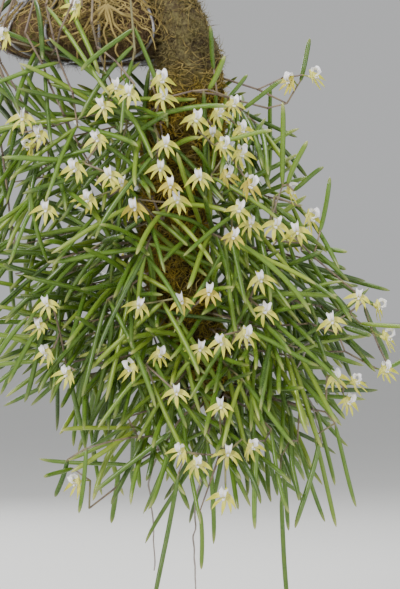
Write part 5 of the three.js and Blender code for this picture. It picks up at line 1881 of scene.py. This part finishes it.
def clear_of_basket(point, room):
    """Moves a point out of the basket's own space, to lie a little off its side."""
    x, y, z = point
    down = down_of(point)
    if -MOUND_RISE < down < BASE_DOWN:
        wall = basket_radius(down) + room
        reach = math.hypot(x, y)
        if reach < wall:
            return (x * wall / reach, y * wall / reach, z)
    return point


def mat_mesh():
    """The mat's lumpy body, kept off the basket's side."""
    rows, columns = MAT_ROWS, MAT_COLUMNS
    points, faces = [], []
    for i in range(rows):
        for k in range(columns):
            centre, out, radius = core_at(i / (rows - 1), TAU * k / columns)
            at = add(centre, mul(out, radius))
            lump = noise.fractal(Vector(at) * 0.045, 1.0, 2.0, 4) * 3.2
            lump += noise.fractal(Vector(at) * 0.22, 0.8, 2.1, 3) * 1.3
            at = add(centre, mul(out, max(0.3, radius + lump * min(1, radius / 8))))
            points.append(clear_of_basket(at, 2.0 + 0.5 * lump))
    for i in range(rows - 1):
        for k in range(columns):
            a, b = i * columns + k, i * columns + (k + 1) % columns
            faces.append((a, b, b + columns, a + columns))
    faces.append(tuple(reversed(range(columns))))
    faces.append(tuple((rows - 1) * columns + k for k in range(columns)))
    mesh = mesh_of("root_mat", points, faces)
    face_outward(mesh)
    return mesh


def wandering(points, amount, rng):
    """The same path with small bends every few millimetres."""
    line = [tuple(points[0])]
    for a, b in zip(points, points[1:]):
        count = max(1, int(size(sub(b, a)) / 7))
        for k in range(1, count + 1):
            line.append(tuple(np.array(mix(a, b, k / count)) + amount * rng.normal(0, 1, 3)))
    return line


def mat_roots(rng, count):
    """Fine old roots and strands that wander over the mat in a tangle."""
    paths = []
    for _ in range(count):
        share, turn = rng.uniform(0.0, 0.95), rng.uniform(0, TAU)
        drift = rng.uniform(-0.45, 0.45)
        way = rng.choice([-1, 1, 1])
        line = []
        for _ in range(int(rng.uniform(5, 15))):
            centre, out, radius = core_at(share, turn)
            point = add(centre, mul(out, radius + rng.uniform(-0.6, 2.6)))
            line.append(clear_of_basket(point, rng.uniform(2.2, 4.5)))
            share += way * rng.uniform(0.002, 0.016)
            turn += drift + rng.normal(0, 0.3)
            if not 0 < share < 0.97:
                break
        if len(line) > 3:
            thick = 0.16 + 0.5 * rng.uniform(0, 1) ** 2.5
            girth = thick * np.linspace(1.0, 0.6, len(line)) * MM
            paths.append({"points": line, "girth": girth, "tint": rng.uniform(0, 1)})
    return paths


class ORCHID_OT_mat(bpy.types.Operator):
    """The hanging mat of moss and old roots that the stems grow from."""

    bl_idname = "orchid.root_mat"
    bl_label = "Root mat"

    def execute(self, context):
        basket = settings()[1]
        moss = finish_of(moss_finish, "mat_moss", basket, 0.5, 0.25, True)
        mat = mat_mesh()
        mat.materials.append(finish_of(soil_finish, "mat_soil"))
        fine = tuft_shape("fine_tuft", strands=6, length=6.8, spread=1.25, girth=0.3, seed=21,
                          curl=0.6)
        tufts = tufted(mat, fine, basket.mat_tufts, 3, moss)
        strands = mat_roots(random_source(STRAND_SEED), MAT_STRANDS)
        roots = grown("mat_roots", path_mesh(strands), "rods", steps=1, sides=4, lumps=0.0003,
                      lump_scale=500.0, material=old_root_finish(basket))
        fine_piece("root_mat", [mat, tufts, roots], "moss_core")
        return {"FINISHED"}


def tufted(mesh, tuft, count, seed, material):
    """Tufts over a copy of a mesh; the pattern tuft goes when they are made."""
    area = sum(face.area for face in mesh.polygons)
    tufts = grown("tufts", mesh.copy(), "tufts", tuft=tuft, count=count, area=area,
                  sink=0.0004, seed=seed, material=material)
    bpy.data.objects.remove(tuft)
    return tufts


class ORCHID_OT_mound(bpy.types.Operator):
    """The mound of moss and root fibre in the basket's mouth."""

    bl_idname = "orchid.moss_mound"
    bl_label = "Moss mound"

    def execute(self, context):
        basket = settings()[1]
        mouth = RIM_RADIUS - LIP_INSET - LINER_THICK - 0.6
        low = -BASE_DOWN * 0.6
        rows = [(0.0, low), (mouth * 0.8, low), (mouth, -6.0), (mouth, 0.0)]
        for k in range(1, 17):
            lean = (math.pi / 2) * k / 17
            rows.append((mouth * math.cos(lean), (MOUND_RISE - 1.5) * math.sin(lean)))
        rows.append((0.0, MOUND_RISE - 1.5))
        profile = [(radius, height - HANGER_HEIGHT) for radius, height in rows]
        moss = finish_of(moss_finish, "mound_moss", basket, 0.6, 0.45, False)

        def swell(x, y, z):
            return noise.fractal(Vector((x, y, z)) * 0.06, 1.0, 2.0, 4) * 2.6

        mound = turned_mesh(profile, MOUND_SIDES, swell)
        mound.materials.append(moss)
        fine = tuft_shape("mound_tuft", strands=6, length=6.0, spread=1.2, girth=0.25, seed=22,
                          curl=0.7)
        tufts = tufted(mound, fine, basket.mound_tufts, 5, moss)
        fine_piece("moss_mound_fine", [mound, tufts], "moss_mound")
        return {"FINISHED"}


def liner_profile(inset, first, last, count):
    """The basket's side from one height to another, moved inwards, as radius and height in mm."""
    rows = []
    for k in range(count + 1):
        down = first + (last - first) * k / count
        rows.append((basket_radius(min(down, BASE_DOWN - 0.01)) - inset, -HANGER_HEIGHT - down))
    return rows


class ORCHID_OT_liner(bpy.types.Operator):
    """The coir liner: a matted shell of coconut fibre that bellies out between the wires."""

    bl_idname = "orchid.coir_liner"
    bl_label = "Coir liner"

    def execute(self, context):
        basket = settings()[1]
        outer = liner_profile(1.9, BASE_DOWN - 1.5, 5.0, 22)
        lip = RIM_RADIUS - LIP_INSET
        inner = liner_profile(1.9 + LINER_THICK, 6.0, BASE_DOWN - 8.0, 14)
        rim = [(0.0, 1.0), (0.4, 4.6), (LINER_THICK * 0.5, 5.8), (LINER_THICK, 4.2)]
        rim = [(lip - inset, height - HANGER_HEIGHT) for inset, height in rim]
        base = -HANGER_HEIGHT - BASE_DOWN + 1.0
        profile = [(0.0, base)] + outer + rim + inner + [(0.0, base + LINER_THICK)]

        def belly(x, y, z):
            turn = math.atan2(y, x)
            between = abs(math.sin(turn * RIB_COUNT / 2))
            swell = noise.fractal(Vector((x, y, z)) * 0.05, 1.0, 2.0, 4) * 1.5
            fine = noise.fractal(Vector((x, y, z)) * 0.35, 0.7, 2.0, 3) * 0.7
            return 1.5 * between + swell + fine - 0.9

        coir = finish_of(coir_finish, "coir_liner", basket)
        liner = turned_mesh(profile, LINER_SIDES, belly)
        liner.materials.append(coir)
        fine = tuft_shape("coir_tuft", strands=4, length=7.5, spread=1.5, girth=0.13, seed=23,
                          curl=0.35)
        fibres = tufted(liner, fine, basket.liner_fibres, 7, coir)
        fine_piece("coir_liner", [liner, fibres], "fibre_liner")
        return {"FINISHED"}


def basket_roots(rng, count):
    """Old roots that run from the crown down over the basket's front and sides."""
    paths = []
    for _ in range(count):
        turn = math.radians(-86 + rng.normal(0, 38))
        down = rng.uniform(-20, 6)
        drift = rng.normal(0, 0.035)
        line = []
        for _ in range(int(rng.uniform(6, 22))):
            lift = rng.uniform(1.9, 4.2)
            reach = basket_radius(min(down, BASE_DOWN - 2)) + lift
            line.append((reach * math.cos(turn), reach * math.sin(turn), -HANGER_HEIGHT - down))
            down += rng.uniform(1.5, 4.5)
            turn += drift + rng.normal(0, 0.05)
            if down > BASE_DOWN - 4:
                break
        if len(line) > 3:
            thick = 0.2 + 0.55 * rng.uniform(0, 1) ** 2
            girth = thick * np.linspace(1.0, 0.5, len(line)) * MM
            paths.append({"points": line, "girth": girth, "tint": rng.uniform(0.0, 0.9)})
    return paths


class ORCHID_OT_crown(bpy.types.Operator):
    """The old root crown: thick roots knotted over the rim, with finer ones over the basket."""

    bl_idname = "orchid.crown_roots"
    bl_label = "Crown roots"

    def execute(self, context):
        basket = settings()[1]
        rng = random_source(CROWN_SEED)
        paths = []
        for points, radius in the_plant().crown:
            line = wandering(points, 1.3, rng)
            girth = radius * MM * np.linspace(0.95, 0.35, len(line))
            paths.append({"points": line, "girth": girth, "tint": rng.uniform(0.1, 0.55)})
        paths += basket_roots(rng, BASKET_ROOTS)
        roots = grown("crown_roots_fine", path_mesh(paths), "rods", steps=3, sides=6, lumps=0.0006,
                      lump_scale=260.0, material=old_root_finish(basket))
        fine_piece("crown_roots_fine", [roots], "crown_roots")
        return {"FINISHED"}


class ORCHID_OT_aerial(bpy.types.Operator):
    """Aerial roots that hang free below the mat."""

    bl_idname = "orchid.aerial_roots"
    bl_label = "Aerial roots"

    def execute(self, context):
        wishes = settings()[0]
        paths = []
        rng = random_source(AERIAL_SEED)
        for points, radius in the_plant().aerial:
            line = wandering(points, 0.5, rng)
            girth = np.linspace(1.0, 0.55, len(line)) * radius * MM
            paths.append({"points": line, "girth": girth, "tint": 0.35})
        skin = finish_of(root_finish, "free_root", wishes.root, ROOT_PALE)
        roots = grown("aerial_roots_fine", path_mesh(paths), "rods", steps=8, sides=8,
                      lumps=0.0006, lump_scale=300.0, material=skin)
        fine_piece("aerial_roots_fine", [roots], "aerial_roots")
        return {"FINISHED"}


def hoop(centre, radius, across, upward, steps):
    """A closed ring as a path whose ends overlap, so that its rod has no gap."""
    line = []
    for k in range(steps + 3):
        turn = TAU * k / steps
        out = add(mul(across, radius * math.cos(turn)), mul(upward, radius * math.sin(turn)))
        line.append(add(centre, out))
    return line


def wire(points, radius):
    return {"points": points, "girth": radius * MM}


def wrap(a, b, wire_radius, coil_radius):
    """A thin wire wound round a straight stretch, as where a rib is tied to the rim."""
    way = unit(sub(b, a))
    across = unit(cross(way, (0.2, 0.3, 0.9)))
    upward = cross(way, across)
    line = []
    steps = WRAP_TURNS * WRAP_STEPS
    for k in range(steps + 1):
        turn = TAU * k / WRAP_STEPS
        centre = mix(a, b, k / steps)
        line.append(add(centre, add(mul(across, coil_radius * math.cos(turn)),
                                    mul(upward, coil_radius * math.sin(turn)))))
    return wire(line, wire_radius)


class ORCHID_OT_wires(bpy.types.Operator):
    """The basket's wires: rim, ribs and base ring, the three hanger wires and the ring."""

    bl_idname = "orchid.basket_wires"
    bl_label = "Basket wires"

    def execute(self, context):
        basket = settings()[1]
        zinc = finish_of(wire_finish, "galvanised_wire", basket)
        rim_height = -HANGER_HEIGHT
        rim = hoop((0, 0, rim_height), RIM_RADIUS, (1, 0, 0), (0, 1, 0), RIM_STEPS)
        base = hoop((0, 0, rim_height - BASE_DOWN), BASE_RADIUS, (1, 0, 0), (0, 1, 0), BASE_STEPS)
        paths = [wire(rim, RIM_WIRE), wire(base, RIB_WIRE)]
        for n in range(RIB_COUNT):
            turn = TAU * n / RIB_COUNT
            spoke = (math.cos(turn), math.sin(turn), 0)
            line = []
            for k in range(RIB_STEPS + 1):
                down = BASE_DOWN * (1 - (1 - k / RIB_STEPS) ** 1.35)
                radius = basket_radius(min(down, BASE_DOWN - 0.05))
                if k == RIB_STEPS:
                    radius = BASE_RADIUS
                line.append(add(mul(spoke, radius), (0, 0, rim_height - down)))
            paths.append(wire(line, RIB_WIRE))
            side = (-math.sin(turn), math.cos(turn), 0)
            at = add(mul(spoke, RIM_RADIUS), (0, 0, rim_height))
            tie = wrap(add(at, mul(side, -3.2)), add(at, mul(side, 3.2)), 0.55, RIM_WIRE + 0.5)
            paths.append(tie)
        frame_mesh = grown("basket_wires", path_mesh(paths), "rods", steps=2, sides=10,
                           material=zinc)
        fine_piece("basket_wires", [frame_mesh], "wire_frame")
        ring = hoop(RING_CENTRE, RING_RADIUS, (1, 0, 0), (0, 0, 1), RING_STEPS)
        ring_mesh = grown("ring", path_mesh([wire(ring, RING_WIRE)]), "rods", steps=2, sides=14,
                          material=zinc)
        fine_piece("hanging_ring_fine", [ring_mesh], "hanging_ring")
        for n, (top, foot) in enumerate(hanger_lines()):
            name = f"hanger_wire_{n + 1}"
            mesh = grown(name, path_mesh(hanger_paths(top, foot)), "rods", steps=2, sides=8,
                         material=zinc)
            fine_piece(name + "_fine", [mesh], name)
        return {"FINISHED"}


def hanger_paths(top, foot):
    """One hanger wire: an eye on the ring, a shaft, an eye on the rim, and the ends wound back."""
    way = unit(sub(foot, top))
    spoke = unit(sub(top, RING_CENTRE))
    inward = unit((foot[0], foot[1], 0))
    start = add(top, mul(way, EYE_RADIUS))
    end = add(foot, mul(way, -RIM_EYE_RADIUS))
    return [
        wire(hoop(top, EYE_RADIUS, spoke, (0, 1, 0), EYE_STEPS), HANGER_WIRE),
        wire(hoop(foot, RIM_EYE_RADIUS, inward, (0, 0, 1), EYE_STEPS), HANGER_WIRE),
        wire([start, mix(start, end, 0.33), mix(start, end, 0.67), end], HANGER_WIRE),
        wrap(add(start, mul(way, 0.5)), add(start, mul(way, 9.0)), 0.8, 1.6),
        wrap(add(end, mul(way, -9.0)), add(end, mul(way, -0.5)), 0.8, 1.6),
    ]


def soft_light(name, place_at, target, width, power, tint=(1.0, 1.0, 1.0)):
    lamp = bpy.data.lights.new(name, "AREA")
    lamp.shape = "DISK"
    lamp.size = width
    lamp.energy = power
    lamp.color = tint
    light = bpy.data.objects.new(name, lamp)
    light.location = place_at
    way = Vector(target) - light.location
    light.rotation_euler = way.to_track_quat("-Z", "Y").to_euler()
    bpy.context.scene.collection.objects.link(light)


class ORCHID_OT_stage(bpy.types.Operator):
    """The pale floor, the soft studio lights and the camera at the photograph's angle."""

    bl_idname = "orchid.stage"
    bl_label = "Stage"

    def execute(self, context):
        wishes = settings()[2]
        low = CAD_BOX[0][2] - wishes.floor_drop
        corners = [(side * FLOOR_REACH, way * FLOOR_REACH, low)
                   for side, way in ((-1, -1), (1, -1), (1, 1), (-1, 1))]
        mesh = bpy.data.meshes.new("floor")
        mesh.from_pydata(corners, [], [(0, 1, 2, 3)])
        mesh.materials.append(finish_of(floor_finish, "pale_floor", wishes.floor_colour))
        floor = bpy.data.objects.new("floor", mesh)
        context.scene.collection.objects.link(floor)
        middle = (VIEW_X * MM, 0.0, (-HANGER_HEIGHT - VIEW_DOWN) * MM)
        key, fill = wishes.key_power, wishes.fill_power
        soft_light("key_light", (-0.9, -1.5, 0.75), middle, 0.8, key, (1.0, 0.98, 0.94))
        soft_light("fill_light", (1.6, -1.2, -0.1), middle, 1.2, fill, (0.94, 0.97, 1.0))
        soft_light("top_light", (0.2, 0.5, 1.1), middle, 1.0, key * 0.6)
        soft_light("back_light", (-0.6, 1.6, 0.2), middle, 1.2, fill)
        world = bpy.data.worlds.new("studio")
        world.use_nodes = True
        sky = world.node_tree.nodes["Background"]
        sky.inputs["Color"].default_value = (0.93, 0.94, 0.95, 1.0)
        sky.inputs["Strength"].default_value = wishes.sky
        context.scene.world = world
        lens = bpy.data.cameras.new("camera")
        lens.sensor_fit = "VERTICAL"
        lens.angle = 2 * math.atan(FRAME_HEIGHT / 2 / VIEW_DISTANCE)
        camera = bpy.data.objects.new("camera", lens)
        camera.location = (middle[0], -VIEW_DISTANCE * MM, middle[2])
        camera.rotation_euler = (math.pi / 2, 0.0, 0.0)
        context.scene.collection.objects.link(camera)
        context.scene.camera = camera
        return {"FINISHED"}


class ORCHID_PT_panel(bpy.types.Panel):
    """Lists the basket's pieces and their settings."""

    bl_idname = "ORCHID_PT_panel"
    bl_label = "Orchid basket"
    bl_space_type = "VIEW_3D"
    bl_region_type = "UI"
    bl_category = "Orchid"

    def draw(self, context):
        for operator in PIECES:
            self.layout.operator(operator.bl_idname)
        for group in settings():
            box = self.layout.box()
            for name in group.bl_rna.properties.keys():
                if name not in ("rna_type", "name"):
                    box.prop(group, name)


PIECES = (ORCHID_OT_wires, ORCHID_OT_liner, ORCHID_OT_mound, ORCHID_OT_mat, ORCHID_OT_crown,
          ORCHID_OT_aerial, ORCHID_OT_stems, ORCHID_OT_sprays, ORCHID_OT_stage)
CLASSES = (PlantSettings, BasketSettings, StageSettings) + PIECES + (ORCHID_PT_panel,)


def register():
    for each in CLASSES:
        bpy.utils.register_class(each)
    bpy.types.Scene.orchid_plant = PointerProperty(type=PlantSettings)
    bpy.types.Scene.orchid_basket = PointerProperty(type=BasketSettings)
    bpy.types.Scene.orchid_stage = PointerProperty(type=StageSettings)


def unregister():
    for name in ("orchid_plant", "orchid_basket", "orchid_stage"):
        delattr(bpy.types.Scene, name)
    for each in reversed(CLASSES):
        bpy.utils.unregister_class(each)


def main():
    register()
    for operator in PIECES:
        family, name = operator.bl_idname.split(".")
        getattr(getattr(bpy.ops, family), name)()


if __name__ == "__main__":
    main()
